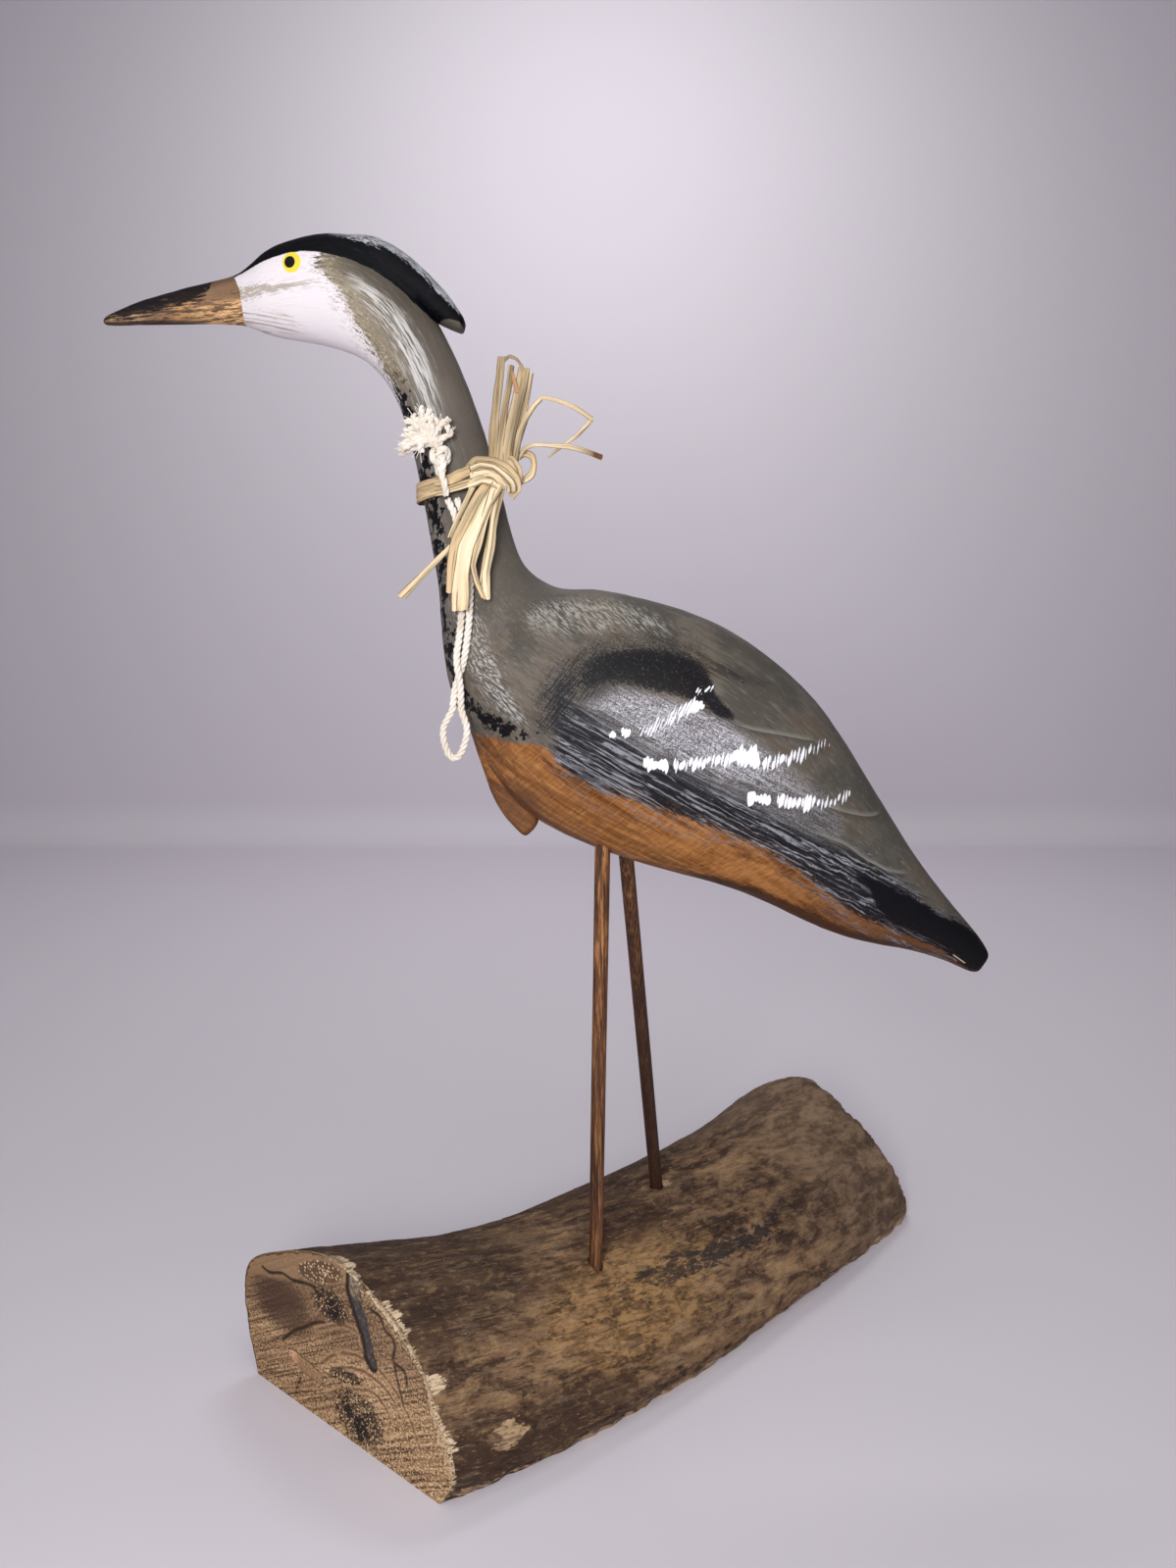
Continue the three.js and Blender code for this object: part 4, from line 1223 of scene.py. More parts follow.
# marks of the sawn end: distance in from the front corner, and height
sawnMarks = {
    "cracks": [
        [(93.5, 43.7), (88.7, 43.3), (81.4, 45.8), (74.4, 45.9), (64.7, 47.9), (60.9, 46.6)],
        [
            (32.4, 52.2), (27.5, 51.5), (25.2, 48), (21.9, 46.8), (20.5, 44.1), (21.5, 38.8), (16, 37.5),
            (15.1, 33),
        ],
        [(57.5, 37.2), (62.1, 35.3), (69.7, 30.2), (75.9, 26.1), (82.4, 19.9)],
        [(72.4, 10.1), (74.4, 5.7), (75.8, 2.1)],
        [(21.5, 38.8), (19, 31), (17.2, 26.5)],
    ],
    "ringLines": [
        [(62.3, 32.4), (49.2, 39.8), (42.3, 41.4), (38.3, 40.8), (36.5, 37)],
        [
            (56.2, 11.3), (50.4, 15.4), (44.7, 18.5), (33.8, 22.7), (28.6, 22.4), (23.6, 17.5),
            (25.1, 11.3),
        ],
        [(52.9, 22.3), (41.6, 27.4), (30.9, 28.6), (22.1, 25.5), (18.5, 20)],
        [(60, 21), (50, 29), (38, 33), (26, 32), (15, 24), (9, 14)],
    ],
    "slot": [
        (41.2, 60.5, 3), (41.4, 55, 3.1), (40, 50.6, 2.9), (37.4, 46.1, 2.9), (35.6, 41.7, 2.4),
        (34.4, 38.6, 2.3), (33.9, 35.2, 2.4), (32.5, 33, 2.2), (31.8, 31.4, 1),
    ],
    "sliver": [(76.7, 17.4, 1.3), (72.7, 16.6, 2.1), (65.9, 15.6, 2.3), (60.9, 15.2, 1.8)],
    # place, reach and slant of each knot
    "knots": [(54, 44.9, 8.8, 5.6, 0), (40.2, 10, 11.8, 8.4, 0), (46.4, 22.2, 8.2, 2.4, 0.22)],
    "cores": [(52.6, 44, 4.2), (39.6, 6.4, 4.4), (46, 9.6, 2.4)],
    # edges of the pale broken bevel: height, then how far in on the sawn face, or how far along the side
    "bevelFace": [
        (0, -5.2), (8, -4.8), (13.7, -3.8), (17.2, -2.2), (19.8, -0.6), (24.5, 1.9), (29.5, 4.2),
        (34.9, 5.8), (39.3, 7.5), (41.5, 10.4), (44.3, 14), (46.2, 17.6), (48.5, 22.5), (51.3, 26.2),
        (53.3, 30), (53.9, 35.1), (58.4, 39.6), (62, 44),
    ],
    "bevelSide": [
        (0, 1.2), (6.5, 1.1), (12.3, 0.5), (16, 0.5), (18.4, 0.6), (19.3, 2.2), (21, 3.5), (25, 1.7),
        (29.9, 1.5), (33.7, 2.4), (35.3, 5.9), (37, 7.2), (40.6, 1.6), (43.6, 1), (45.1, 2.1),
        (47.1, 1.2), (49.5, 1), (50.1, 4), (51.8, 3.2), (53.7, 5.3), (56.3, 1.2), (58.8, 0.6), (61, 2.6),
    ],
}
sawnValues = ("sawnFace", "crackReach", "ringReach", "slotReach", "sliverReach")


def logRing(share, scale=1):
    # one ring of the log at a share of its length, drawn in towards its middle by the scale
    distance, swing, width, height = curveThrough(log["stations"], 201)[int(round(share * 200))]
    roundness = stepped(distance, *log["roundOver"])
    wear = stepped(distance, log["wornFrom"], log["length"])
    outline = [curveThrough(log[key], log["roundSides"] + 1) for key in ("sawn", "round", "worn")]
    section = outline[0] + (outline[1] - outline[0]) * roundness
    section = section + (outline[2] - section) * wear
    flat = [(1 - i / log["flatSides"], 0) for i in range(1, log["flatSides"])]
    section = np.vstack([section, flat])
    shareRound = np.concatenate([np.linspace(0, 1, log["roundSides"] + 1), np.ones(log["flatSides"] - 1)])
    middle = np.array([0.5, 0.46])
    section = middle + (section - middle) * scale
    skew = log["cutSkew"] * max(0, 1 - distance / log["cutReach"])
    ring = []
    for (across, up), r in zip(section, shareRound):
        inward = across * width + swing
        hollow = 1 + math.sin(math.pi * r) * (
            0.018 * math.sin(distance / 31 + 5 * r) + 0.014 * math.sin(distance / 57 + 26 * r)
        )
        at = np.array(log["corner"]) + logAlong * (distance - skew * inward) + logInward * inward
        at[2] = max(0, up * height * hollow)
        ring.append(at)
    return ring


def logPlaces(points):
    off = points - np.array(log["corner"])
    return off @ logAlong, off @ logInward, points[:, 2]


def makeLog():
    rings = [logRing(0, s) for s in log["sawnShares"]]
    rings += [logRing(share) for share in log["ringShares"]]
    rings += [logRing(1, s) for s in reversed(log["wornShares"])]
    piece = loftByExtruding("driftwoodBase", rings)
    rim = np.array(logRing(0))
    onRim = lambda p: np.linalg.norm(rim - np.array(p), axis=1).min() < 0.01
    onFloor = lambda p: p.z < 0.01
    for test, crease in ((onRim, 0.9), (onFloor, 1)):
        workWithin(piece, "edges", test, bpy.ops.transform.edge_crease, value=crease)
    subdivide(piece, 3)
    points, normals = pointsOf(piece), normalsOf(piece)
    along, inward, up = logPlaces(points)
    cut = along + log["cutSkew"] * inward
    onCap = stepped(-(normals @ logAlong), 0.72, 0.9) * (cut < 4)
    off = stepped(up, 0.2, 2.5)
    # weathered grain along the log
    askew = along * log["askew"] - along * along * log["settle"]
    grainPlace = np.stack([along * 0.018, (inward + askew) * 0.34, (up + askew) * 0.34], 1)
    ridges = bumps(grainPlace, (1, 1, 1), 5.3, 4)
    lumps = bumps(np.stack([along, inward, up], 1), (0.035, 0.06, 0.06), 2.2)
    pits = np.stack([along * 0.09, (inward + askew) * 0.3, (up + askew) * 0.3], 1)
    pits = bumps(pits, (1, 1, 1), 8.8)
    deep = log["side"]
    side = deep["ridges"] * ridges - deep["furrows"] * np.abs(ridges) + deep["lumps"] * lumps
    side -= deep["pits"] * stepped(pits, 0.3, 0.7) + deep["sunk"]
    # sawn end: saw lines, cracks, the filled slot, the raised sliver, worn knots and the broken bevel
    saw = np.stack([inward * 0.05, (up + 0.56 * inward) * 0.8], 1) @ np.eye(2, 3)
    saw = bumps(saw, (1, 1, 1), 1.5, 2)
    face = np.stack([inward, up], 1)
    crack, ringLine = (
        np.min([brushReach(face, [(*p, 0) for p in line]) for line in sawnMarks[key]], axis=0)
        for key in ("cracks", "ringLines")
    )
    slot = brushReach(face, sawnMarks["slot"])
    sliver = brushReach(face, sawnMarks["sliver"])
    rough = bumps(points, (0.5, 0.5, 0.5), 4.4)
    worn = np.zeros(len(points))
    for across, height, wide, tall, slant in sawnMarks["knots"]:
        away = np.hypot((inward - across) / wide, (up - height + slant * (inward - across)) / tall)
        worn = np.maximum(worn, stepped(-away - 0.5 * rough, -1.2, -0.4))
    bevelFace, bevelSide = (np.interp(up, *zip(*sawnMarks[key])) for key in ("bevelFace", "bevelSide"))
    side -= deep["bevel"] * stepped(bevelSide + 0.6 * rough - cut, 0, 3)
    deep = log["face"]
    sawnEnd = deep["sawLines"] * saw + deep["rough"] * rough - deep["sunk"]
    sawnEnd -= deep["cracks"] * stepped(-crack, -0.8, 0.1) + deep["slot"] * stepped(-slot, -0.7, 0.4)
    sawnEnd += deep["sliver"] * stepped(-sliver, -0.9, 0.3)
    sawnEnd -= worn * (deep["knots"] + deep["knotRough"] * np.abs(rough))
    sawnEnd -= deep["bevel"] * stepped(bevelFace - inward + rough, -0.5, 5)
    points = points + normals * (side * (1 - onCap) * off)[:, None]
    points = points - np.outer(onCap * sawnEnd * off, logAlong)
    # ragged lower edge in front and ragged far end
    frontEdge = np.interp(along, [s[0] for s in log["stations"]], [s[1] for s in log["stations"]])
    ragged = bumps(np.stack([along * 0.09, 0 * up, up * 0.1], 1), (1, 1, 1), 3.9)
    ragged = log["raggedEdge"][0] + log["raggedEdge"][1] * ragged
    ragged = ragged * stepped(-up, -7, -0.5) * stepped(-(inward - frontEdge), -12, 0)
    points = points + np.outer(ragged, logInward)
    mean, swing, least = log["farEnd"]
    scallop = np.maximum(mean + swing * bumps(points, (0.12, 0.12, 0.12), 9.1), least)
    points = points - np.outer(scallop * stepped(along, *log["farEndFrom"]), logAlong)
    points[:, 2] = np.maximum(points[:, 2], 0)
    setPoints(piece, points)
    smoothByAngle(piece, log["smoothAngle"])
    for name, values in zip(sawnValues, (onCap, crack, ringLine, slot, sliver)):
        keepValues(piece, name, values)
    cutLegHoles(piece)
    return piece


def driftwoodFinish():
    f = Finish("driftwood")
    offX, offY = f.x - log["corner"][0], f.y - log["corner"][1]
    along = offX * float(logAlong[0]) + offY * float(logAlong[1])
    inward = offX * float(logInward[0]) + offY * float(logInward[1])
    z = f.z
    cut = along + inward * log["cutSkew"]
    held = f.held(*sawnValues)

    # the grain runs a little askew to the log near the sawn end
    askew = along * log["askew"] - along * along * log["settle"]

    def weathered(lengthways, crossways, seed, detail=4, rough=0.7, warp=0):
        place = f.vector(along * lengthways + seed, (inward + askew) * crossways, (z + askew) * crossways)
        return f.noise(place, 1, detail, rough, warp)

    # weathered side, in layers of ever smaller patches
    fibre = weathered(0.045, 0.95, 0)
    broad = weathered(0.012, 0.05, 3, 3, 0.6, 0.3)
    patch = weathered(0.055, 0.12, 6, 6, 0.72, 0.5)
    scale = weathered(0.14, 0.28, 11, 5, 0.7, 0.5)
    fleck = weathered(0.3, 0.9, 17)
    pits = weathered(0.6, 1.5, 23, 3)
    ashen = weathered(0.08, 0.3, 29, 5)
    side = f.ramp(
        patch * 0.5 + broad * 0.25 + scale * 0.25,
        (0.4, 46, 34, 28), (0.455, 76, 56, 44), (0.5, 104, 80, 60), (0.55, 130, 102, 76),
        (0.62, 160, 130, 96),
    )
    ochre = ((along - 86) * 0.021) ** 2 + ((z - 33) * 0.06) ** 2 + (patch - 0.5) * 3
    ochreMix = f.over((122, 90, 56), (178, 138, 88), (scale * 0.5 + fleck * 0.5, 0.44, 0.57))
    side = f.over(side, ochreMix, (ochre, 1.3, 0.2), (inward, 26, 12), 0.6)
    umber = f.mask((patch, 0.5, 0.42), (scale, 0.58, 0.48))
    side = f.layers(
        side,
        ((52, 38, 31), umber, 0.55 - f.step(along, 150, 210) * 0.25),
        ((50, 37, 31), (z + (patch - 0.5) * 18, 44, 50), (along, 80, 40), 0.6),
        ((58, 40, 31), (z + (scale - 0.5) * 14, 27, 18), (along, 84, 50), 0.75),
        ((62, 45, 36), (z, 38, 46), (along, 90, 40), 0.4),
        ((60, 43, 34), (z, 30, 21), (along, 70, 30), 0.45),
        ((70, 55, 46), (inward, 40, 66), 0.6),
        ((150, 118, 80), (scale, 0.55, 0.6), (patch, 0.42, 0.54), 0.34),
        ((132, 114, 92), (ashen, 0.55, 0.61), 0.3),
        ((62, 44, 33), (abs(along - 106) + (scale - 0.5) * 60, 26, 14), (inward, 12, 18), 0.5),
    )
    charLine = f.line(along, [(84, 38), (101, 35.4), (114, 34.8), (129, 34.3), (148, 32.4), (175, 31.8)])
    char = abs(z - charLine) * 0.28 + ((along - 132) * 0.022) ** 2 + (scale - 0.5) * 6
    char = f.mask((char, 1.2, 0.5), (patch + ashen, 0.87, 0.97), (inward, 30, 18))
    side = f.layers(
        side,
        ((42, 38, 39), char, 0.85),
        ((52, 38, 30), (fibre, 0.44, 0.37), 0.55 - f.step(along, 90, 190) * 0.3),
        ((168, 138, 102), (fibre, 0.58, 0.65), 0.2),
        ((186, 156, 116), (fleck, 0.6, 0.66), 0.3),
        ((42, 31, 25), (fleck, 0.4, 0.33), 0.6 - f.step(along, 150, 220) * 0.45),
        ((34, 25, 21), (pits, 0.38, 0.31), 0.6 - f.step(along, 150, 220) * 0.4),
    )
    spot = ((along - 20.8) * 0.16) ** 2 + ((z - 18) * 0.26) ** 2 + (scale - 0.5) * 7
    spotMix = f.over((124, 98, 76), (184, 156, 120), (fleck, 0.42, 0.58))
    side = f.over(side, spotMix, (spot, 1.1, 0.8), (inward, 20, 8), 0.85)
    far = f.step(along, 165, 235)
    side = f.layers(
        side,
        ((112, 91, 73), far, 0.5),
        ((152, 128, 104), (patch * 0.6 + scale * 0.4, 0.44, 0.6), far, 0.5),
        ((190, 162, 128), (z + (fleck - 0.5) * 14, 3.2, 0.8), (ashen, 0.46, 0.54), 0.7),
    )
    footChip = ((along - 137.6) * 0.42) ** 2 + ((inward - 35.4) * 0.3) ** 2
    side = f.over(side, (182, 156, 122), (footChip + (fleck - 0.5) * 6, 1, 0.6), 0.85)
    flake = f.noise((inward * 0.5, z * 0.5, cut * 0.1), 1, 4, 0.75)
    splinter = f.noise((inward * 1.3, z * 1.3, cut * 0.16 + 5), 1, 3, 0.7)
    bevel = f.line(z, sawnMarks["bevelSide"]) + (flake - 0.5) * 11 - cut
    chips = f.mask((bevel, -0.1, 0.4), (inward, 60, 50))
    chipMix = f.over((140, 116, 92), (214, 192, 160), (splinter * 0.6 + flake * 0.4, 0.43, 0.55))
    side = f.layers(
        side,
        (chipMix, chips, 0.92),
        ((74, 54, 42), chips, (splinter, 0.43, 0.38), 0.75),
    )

    # sawn face
    sawPlace = z + inward * 0.56
    sawLine = f.noise((inward * 0.03, sawPlace * 0.95, 1), 1, 3, 0.65)
    sawBroad = f.noise((inward * 0.02, sawPlace * 0.28, 8), 1, 3, 0.6)
    pore = f.noise((inward * 0.95, z * 1.05, 4), 1, 3, 0.75)
    grit = f.noise((inward * 1.9, z * 1.9, 9), 1, 2, 0.7)
    crumb = f.noise((inward * 0.55, z * 0.55, 2), 1, 4, 0.8)
    stain = f.noise((inward * 0.045, z * 0.06, 7), 1, 4, 0.65)
    cells = {"Vector": f.vector(inward * 0.85 + crumb * 1.2, z * 0.85, 0), "Scale": 1}
    bits = f.add("TexVoronoi", {"feature": "F1"}, cells, out="Distance")
    face = f.ramp(
        sawLine * 0.3 + sawBroad * 0.2 + stain * 0.15 + pore * 0.19 + grit * 0.16,
        (0.41, 84, 60, 42), (0.455, 128, 97, 68), (0.5, 166, 131, 95), (0.545, 192, 156, 118),
        (0.6, 222, 188, 148),
    )
    face = f.layers(
        face,
        ((68, 48, 35), (pore, 0.475, 0.43), 0.7 - f.step(inward, 36, 18) * 0.3),
        ((72, 52, 38), (pore * 0.5 + grit * 0.5, 0.46, 0.41), 0.6),
        ((78, 56, 42), (sawLine * 0.85 + grit * 0.15, 0.465, 0.425), 0.8),
        ((228, 196, 156), (pore * 0.7 + grit * 0.3, 0.53, 0.57), f.step(inward, 76, 30) * 0.5 + 0.25),
        ((86, 64, 50), (z + inward * 0.1 + (stain - 0.5) * 16, 30, 42), 0.5),
    )
    smudge = ((inward - 82) * 0.05) ** 2 + ((z - 34) * 0.075) ** 2 + (crumb - 0.5) * 1.6
    face = f.over(face, (70, 47, 39), (smudge, 1.1, 0.2), 0.75)
    ringOff = held["ringReach"] + (pore - 0.5) * 0.9
    face = f.layers(
        face,
        ((190, 154, 114), (ringOff, 2, 1), 0.4),
        ((88, 62, 46), (ringOff, 0.8, 0.25), 0.75),
    )
    for across, height, wide, tall, slant in sawnMarks["knots"]:
        u, v = (inward - across) * (1 / wide), (z - height + (inward - across) * slant) * (1 / tall)
        away = (u * u + v * v).maths("SQRT") + (crumb - 0.5) * 1.3
        face = f.layers(
            face,
            ((72, 53, 43), (away, 1.2, 0.95), (crumb * 0.5 + grit * 0.5, 0.6, 0.51), 0.85),
            ((36, 28, 25), (away, 1.15, 0.8), (pore * 0.6 + grit * 0.4, 0.53, 0.48), 0.9),
            ((206, 174, 134), (away, 1.2, 0.9), (bits, 0.38, 0.24), 0.85),
        )
    for across, height, reach in sawnMarks["cores"]:
        u, v = (inward - across) * (1 / reach), (z - height) * (1 / reach)
        away = (u * u + v * v).maths("SQRT") + (crumb - 0.5) * 1.5
        face = f.over(face, (34, 28, 28), (away, 1.1, 0.7), (bits, 0.12, 0.3), 0.9)
    topChips = ((inward - 59) * 0.075) ** 2 + ((z - 55 + (inward - 59) * 0.3) * 0.22) ** 2
    topMix = f.over((92, 68, 50), (224, 196, 156), (bits + (pore - 0.5) * 0.8, 0.42, 0.28))
    face = f.layers(
        face,
        ((156, 124, 92), (z + (inward - 59) * 0.34 + (stain - 0.5) * 6, 50.5, 53), 0.7),
        (topMix, (topChips + (crumb - 0.5) * 1.2, 1, 0.7), 0.9),
    )
    bevel = f.line(z, sawnMarks["bevelFace"]) - inward + (flake - 0.5) * 5
    bevelMix = f.over((96, 75, 57), (176, 148, 116), (pore * 0.5 + grit * 0.5, 0.44, 0.56))
    bevelMix = f.over(bevelMix, (204, 176, 140), (z, 44, 36), (splinter, 0.44, 0.54), 0.8)
    face = f.layers(
        face,
        (bevelMix, (bevel, -0.2, 0.5), 0.85),
        ((66, 48, 38), (abs(bevel - 0.1) + (pore - 0.5) * 1.2, 0.5, 0.15), (z, 24, 34), 0.7),
        ((60, 44, 35), (held["sliverReach"], 0.9, 0.4), 0.75),
    )
    sliverMix = f.over((168, 132, 97), (228, 178, 138), (inward, 71, 75))
    sliverMix = f.over(sliverMix, (110, 80, 58), (pore * 0.5 + grit * 0.5, 0.52, 0.46), 0.75)
    face = f.layers(
        face,
        (sliverMix, (held["sliverReach"], 0.5, 0.1)),
        ((42, 31, 26), (held["crackReach"] - (pore - 0.4) * 1.4, 0.8, 0.1), 0.9),
    )
    slotOff = held["slotReach"] + (crumb - 0.5) * 1.6
    face = f.over(face, (46, 36, 31), (slotOff, 0.8, 0.2))
    filling = f.over((68, 62, 61), (96, 88, 84), (crumb, 0.46, 0.6))
    filling = f.layers(
        filling,
        ((52, 46, 46), (grit, 0.47, 0.4), 0.7),
        (f.over((98, 84, 70), (158, 138, 116), (crumb, 0.44, 0.56)), (z, 51.5, 53.5)),
    )
    face = f.over(face, filling, (slotOff, -0.1, -0.6))
    colour = f.over(side, face, held["sawnFace"])
    sideHeight = fibre * 0.45 + fleck * 0.3 + pits * 0.25
    faceHeight = pore * 0.35 + grit * 0.2 + sawLine * 0.2 + crumb * 0.25
    height = f.over(sideHeight, faceHeight, held["sawnFace"])
    return f.surface(colour, 0.8 + fleck * 0.15, height, 0.6, **{"Specular IOR Level": 0.2})


driftwoodBase = makeLog()
dress(driftwoodBase, driftwoodFinish(), "driftwood", "driftwood_base")
print("log ready", len(driftwoodBase.data.polygons))


# ---- dried fibre tie ----

tie = {
    "thickness": 0.26,
    "pleat": 0.36,
    "twist": 0.5,
    # width at the start, width at the end, folds, then the line
    "strips": [
        (3, 2.6, 3, [
            (-44.6, -52, 322), (-43.9, -51, 336.8), (-42.8, -50, 347.3), (-41.8, -49.5, 354.6),
            (-41.2, -49, 360.6),
        ]),
        (2.6, 1.8, 2, [
            (-42.4, -53, 323), (-41, -52.2, 336.7), (-39.9, -51.4, 345), (-38.6, -50.5, 352.4),
            (-38, -50, 357.6),
        ]),
        (3.6, 3.6, 4, [
            (-40.4, -52.5, 323), (-38.3, -52, 336.7), (-36.3, -51, 345.1), (-34.8, -50.5, 351.4),
            (-33.9, -50, 356.4),
        ]),
        (2.8, 2, 3, [
            (-39, -51, 323), (-36.4, -50.5, 334.8), (-34.5, -50, 342.2), (-33, -49.6, 348.4),
            (-31.9, -49.4, 354.9),
        ]),
        (2.4, 1.8, 2, [
            (-38, -51.5, 323), (-35.4, -51, 335.8), (-33, -50, 341.1), (-30.6, -49.5, 344.9),
            (-28.4, -49, 347.2),
        ]),
        (1, 0.9, 1, [
            (-40.4, -49.5, 359.2), (-38.6, -51, 360.4), (-36.2, -52, 359.2), (-34.7, -51, 357.4),
            (-33.8, -50, 353.7),
        ]),
        (1.4, 1, 1, [(-36.1, -51.5, 348.8), (-36.9, -52.5, 352.2), (-37.5, -52.6, 355.3)]),
        (1, 1.6, 1, [
            (-37.6, -50, 326.2), (-32.8, -49, 341.3), (-28.3, -48.6, 347.5), (-23.2, -48.4, 346.8),
            (-17.8, -48.2, 344.8), (-14.1, -48, 342.7), (-11.3, -47.6, 340.9),
        ]),
        (1.5, 0.7, 1, [
            (-11.3, -47.6, 341.2), (-13, -47.8, 338.9), (-16.8, -48, 335.2), (-21.1, -48.2, 332.3),
            (-25.4, -48.5, 329),
        ]),
        (0.9, 1.9, 1, [
            (-37.2, -50.5, 325.5), (-34.2, -50, 330.8), (-30.7, -49.5, 332.3), (-25.4, -49, 332.2),
            (-18.9, -48.8, 331.8), (-13.5, -48.6, 330.4), (-7.6, -48.2, 328.2),
        ]),
        (2.2, 2.2, 2, [
            (-39.8, -51, 322.3), (-34.8, -50.9, 320.4), (-31.7, -49.9, 322.5), (-30.7, -48.8, 325.9),
            (-31.4, -47.9, 328.9), (-34, -47.9, 329.7), (-37.4, -48.6, 327.8),
        ]),
        (2.6, 2.6, 2, [
            (-52.5, -55, 324.1), (-49.6, -56.2, 326.7), (-43.8, -57.4, 326), (-39.5, -57.6, 324),
            (-36.3, -57, 320.7), (-35.8, -55.4, 317.4), (-37.9, -53, 315.4),
        ]),
        (3.4, 3, 2, [
            (-51.1, -56.4, 323), (-48, -57.6, 324.3), (-43.7, -58.6, 323.5), (-40.4, -58.8, 321.1),
            (-38, -57.8, 318.4), (-37.9, -55.6, 316),
        ]),
        (2.6, 2.4, 2, [
            (-51.4, -57, 321.6), (-45.8, -58.6, 322.1), (-42.5, -59.2, 320.7), (-40, -58.2, 317.6),
        ]),
        (2.8, 3.2, 2, [
            (-52.3, -56.6, 318.4), (-47.6, -58.6, 319.9), (-43.7, -59.4, 319.3), (-40.3, -58, 317.2),
        ]),
        (3, 3, 2, [
            (-41.4, -50.6, 327.2), (-38.2, -53.4, 326.8), (-36, -54.6, 323.4), (-35.8, -53.2, 319.6),
            (-38, -51, 317.6),
        ]),
        (3.4, 3.6, 3, [
            (-63.4, -52, 320.2), (-58.9, -54.4, 320.3), (-55.3, -55.8, 321.8), (-51.1, -56.6, 323.4),
        ]),
        (2.8, 2.4, 2, [
            (-63.5, -52, 316.6), (-59.7, -54.6, 317), (-54.2, -56, 318.5), (-48.1, -57.4, 320.2),
        ]),
        (3.4, 4.2, 3, [
            (-44.5, -58.8, 319.4), (-48.2, -59.6, 315.3), (-51.4, -60.6, 309.5), (-55.4, -62, 300.3),
            (-56.7, -63, 292.2), (-57.3, -63.6, 283.6),
        ]),
        (3.6, 5.8, 4, [
            (-42, -59, 318.6), (-45.8, -60.4, 312.4), (-48.9, -61.6, 306), (-52.5, -62.8, 298),
            (-54.1, -63.8, 288.8), (-54.7, -64.4, 277.4),
        ]),
        (3, 2.4, 2, [
            (-41.4, -57.4, 317.6), (-43.1, -58.6, 310.3), (-43.9, -59.6, 304.5), (-44.6, -60.4, 298.1),
            (-46.2, -61.4, 290), (-46, -62.2, 281.4),
        ]),
        (2.8, 1.6, 2, [
            (-43.4, -59.6, 316.8), (-46.5, -60.8, 307.2), (-48.5, -62, 299.2), (-50.3, -63, 292.2),
            (-49.1, -63.4, 286.5), (-47.1, -63, 281.7),
        ]),
        (1.8, 1.4, 1, [
            (-50, -57, 318.9), (-53.2, -57.9, 312.4), (-55.6, -58.6, 307.4), (-58.2, -59.4, 300.9),
        ]),
        (1, 2.8, 2, [
            (-51.7, -58.6, 305.9), (-57, -59.4, 299.4), (-61.9, -59, 294.6), (-68.1, -57.8, 288.7),
            (-73.1, -56.6, 284), (-75, -56, 282.3),
        ]),
        (2.6, 3, 2, [
            (-44.2, -58, 317.4), (-48.3, -59, 308.9), (-51, -60.6, 299.4), (-52.9, -61.8, 291.1),
            (-53.6, -62.8, 283.8), (-53.2, -63, 278.6),
        ]),
        (2.2, 2, 2, [
            (-42.5, -57.2, 315.6), (-44.1, -57.8, 306.1), (-45.9, -59.2, 296.5), (-47.6, -60.6, 287.6),
            (-48.4, -61.2, 284),
        ]),
    ],
    # turns round the neck: height at the throat, rise to the nape, width
    "turns": [(318.6, 0.16, 3.4), (315.3, 0.24, 3.2), (317, 0.2, 2.8)],
    "stiff": 0.6,  # how straight a strip stays between the bends
    "neck": (-56.4, -40),
    "turnRadii": (14.4, 12.9),
    "turnColumns": 8,
    "turnPoints": 24,
    "turnStart": 1.1,
    "turnStep": 1.2,
    "step": 0.9,
    "smoothAngle": 28,
    "tornFrom": 0.96,  # share of a strip's length where its torn end starts
}


def gridOn(name, across, outline, uvs):
    # a flat grid set on its outline, row after row
    rows = len(outline) // (across + 1) - 1
    bpy.ops.object.select_all(action="DESELECT")
    bpy.ops.mesh.primitive_grid_add(x_subdivisions=across, y_subdivisions=rows, size=mm)
    strip = bpy.context.object
    strip.name = name
    setPoints(strip, np.array(outline))
    layer = strip.data.uv_layers.active
    for loop in strip.data.loops:
        layer.data[loop.index].uv = uvs[loop.vertex_index]
    return strip


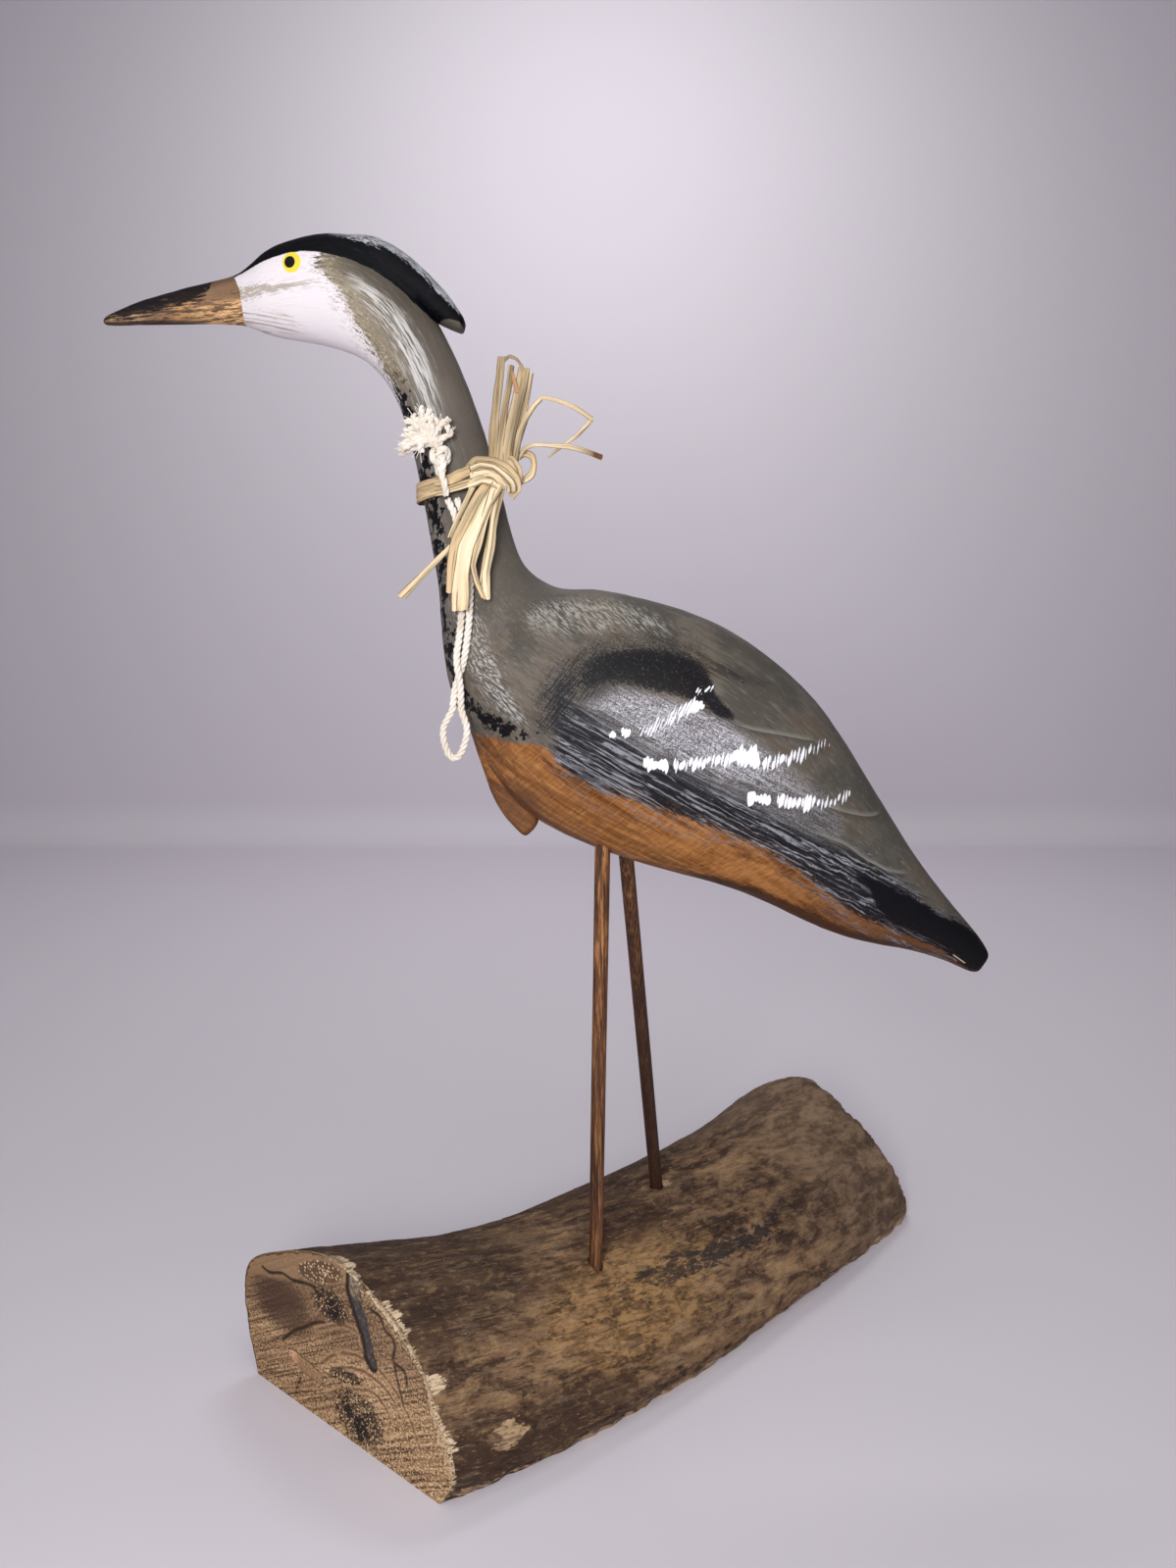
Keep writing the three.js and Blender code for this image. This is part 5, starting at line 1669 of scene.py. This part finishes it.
def ribbon(number, startWidth, endWidth, folds, line):
    # a strip along its line, broad side to the viewer, with a few lengthwise folds
    centre = evenLine(line, tie["step"])
    straight = spacedOut(np.array(line, float), len(centre))
    centre = centre + (straight - centre) * tie["stiff"]
    across = folds + 1
    tangents = np.gradient(centre, axis=0)
    outline, uvs = [], []
    gone = 0
    for row, (at, tangent) in enumerate(zip(centre, tangents)):
        tangent = tangent / np.linalg.norm(tangent)
        share = row / (len(centre) - 1)
        broad = np.cross(tangent, (0.12 * math.sin(number), -1, 0.1))
        broad /= np.linalg.norm(broad)
        out = np.cross(broad, tangent)
        turn = tie["twist"] * noise.noise(Vector((number * 2.9, share * 2.6, 1)))
        c, s = math.cos(turn), math.sin(turn)
        broad, out = broad * c + out * s, out * c - broad * s
        width = startWidth + (endWidth - startWidth) * share
        width *= 1 + 0.22 * noise.noise(Vector((number * 3.7, share * 4, 0)))
        ends = 1.2 * noise.noise(Vector((number * 1.3, 9, 0)))
        for column in range(across + 1):
            side = column / across - 0.5
            pleat = 2.2 * noise.noise(Vector((number, column * 1.7, share * 2.2)))
            pleat = ((0.5 if column % 2 else -0.5) + pleat) * tie["pleat"]
            wander = 0.3 * noise.noise(Vector((number * 2.1, column * 0.6, share * 5)))
            torn = 1.4 * noise.noise(Vector((number * 5.1, column * 2.3, 4))) + ends
            torn *= share > tie["tornFrom"]
            outline.append(at + broad * side * width + out * (pleat + wander) + tangent * torn)
            uvs.append((side + 0.5 + number * 3, gone + number * 1.7))
        if row + 1 < len(centre):
            gone += float(np.linalg.norm(centre[row + 1] - at)) / 10
    return gridOn(f"fibre{number}", across, outline, uvs)


def neckTurn(number, height, rise, width):
    line = []
    (neckX, neckY), (reachX, reachY) = tie["neck"], tie["turnRadii"]
    for i in range(tie["turnPoints"] + 1):
        angle = 2 * math.pi * i / tie["turnPoints"] + tie["turnStart"]
        x, y = neckX + reachX * math.cos(angle), neckY + reachY * math.sin(angle)
        line.append((x, y, height + rise * (x - neckX + reachX)))
    centre = evenLine(line, tie["turnStep"])
    across = tie["turnColumns"]
    outline, uvs = [], []
    for row, at in enumerate(centre):
        out = np.array([at[0] - neckX, at[1] - neckY, 0])
        out /= np.linalg.norm(out)
        for column in range(across + 1):
            side = column / across - 0.5
            pleat = (0.5 if column % 2 else -0.5) * tie["pleat"]
            wander = 0.25 * noise.noise(Vector((number * 4.1, column * 0.7, row * 0.1)))
            outline.append(at + np.array([0, 0, side * width]) + out * (pleat + wander + 0.4))
            uvs.append((side + 0.5 + 90 + number * 3, row * 0.12))
    return gridOn(f"turn{number}", across, outline, uvs)


def makeTie():
    strips = [ribbon(i, *strip) for i, strip in enumerate(tie["strips"])]
    strips += [neckTurn(i, *turn) for i, turn in enumerate(tie["turns"])]
    piece = joinPieces("raffiaTie", strips)
    finishWith(piece, "SOLIDIFY", thickness=tie["thickness"] * mm, offset=0)
    smoothByAngle(piece, tie["smoothAngle"])
    return piece


def fibreFinish():
    f = Finish("driedFibre")
    uv = f.add("TexCoord", out="UV")
    u = f.add("SeparateXYZ", inputs={0: uv}, out="X")
    v = f.add("SeparateXYZ", inputs={0: uv}, out="Y")
    line = f.noise((u * 4, v * 0.25, 0), 1, 3, 0.7)
    broad = f.noise((u * 1.8, v * 0.3, 3), 1, 2, 0.5)
    fleck = f.noise((u * 14, v * 2.2, 6), 1, 3, 0.7)
    strip = (u / 3).maths("FLOOR")
    tint = f.chance(strip + 0.5)
    edge = abs(u.maths("FRACT") - 0.5)
    colour = f.ramp(
        line * 0.55 + broad * 0.45,
        (0.34, 176, 148, 108), (0.42, 212, 186, 144), (0.52, 236, 214, 176), (0.66, 247, 232, 202),
    )
    colour = f.layers(
        colour,
        ((206, 176, 132), (tint, 0.45, 1), 0.7),
        # grey-green patches, partly the fibre's own tone and partly painted shade
        ((168, 156, 128), (broad, 0.48, 0.38), 0.7),
        # painted shade in the folds: thin dark crease lines
        ((110, 82, 52), (line, 0.425, 0.38), 0.8),
        # dark strip edges: partly the brown edges of the fibre, partly painted shade in the gaps between
        # strips
        ((96, 70, 44), (edge + (fleck - 0.5) * 0.1, 0.43, 0.465), 0.85),
        ((110, 72, 40), (fleck, 0.62, 0.72), 0.5),
    )
    upper = f.mask((f.z, 320, 340), (f.x, -30, -34))
    colour = f.layers(
        colour,
        ((124, 107, 84), upper, f.step(line, 0.54, 0.44) * 0.45 + 0.3),
        ((192, 122, 66), (abs(strip - 6), 0.6, 0.4), 0.6),
    )
    brown = f.step(f.x, -19, -9) * f.step(f.z, 341, 329) + f.step(f.x, -12, -8)
    colour = f.over(colour, (104, 68, 42), brown, 0.8)
    return f.surface(colour, 0.6 + fleck * 0.15, line, 0.16, **{"Specular IOR Level": 0.25})


raffiaTie = makeTie()
dress(raffiaTie, fibreFinish(), "dried_fibre", "raffia_tie")
print("tie ready", len(raffiaTie.data.polygons))
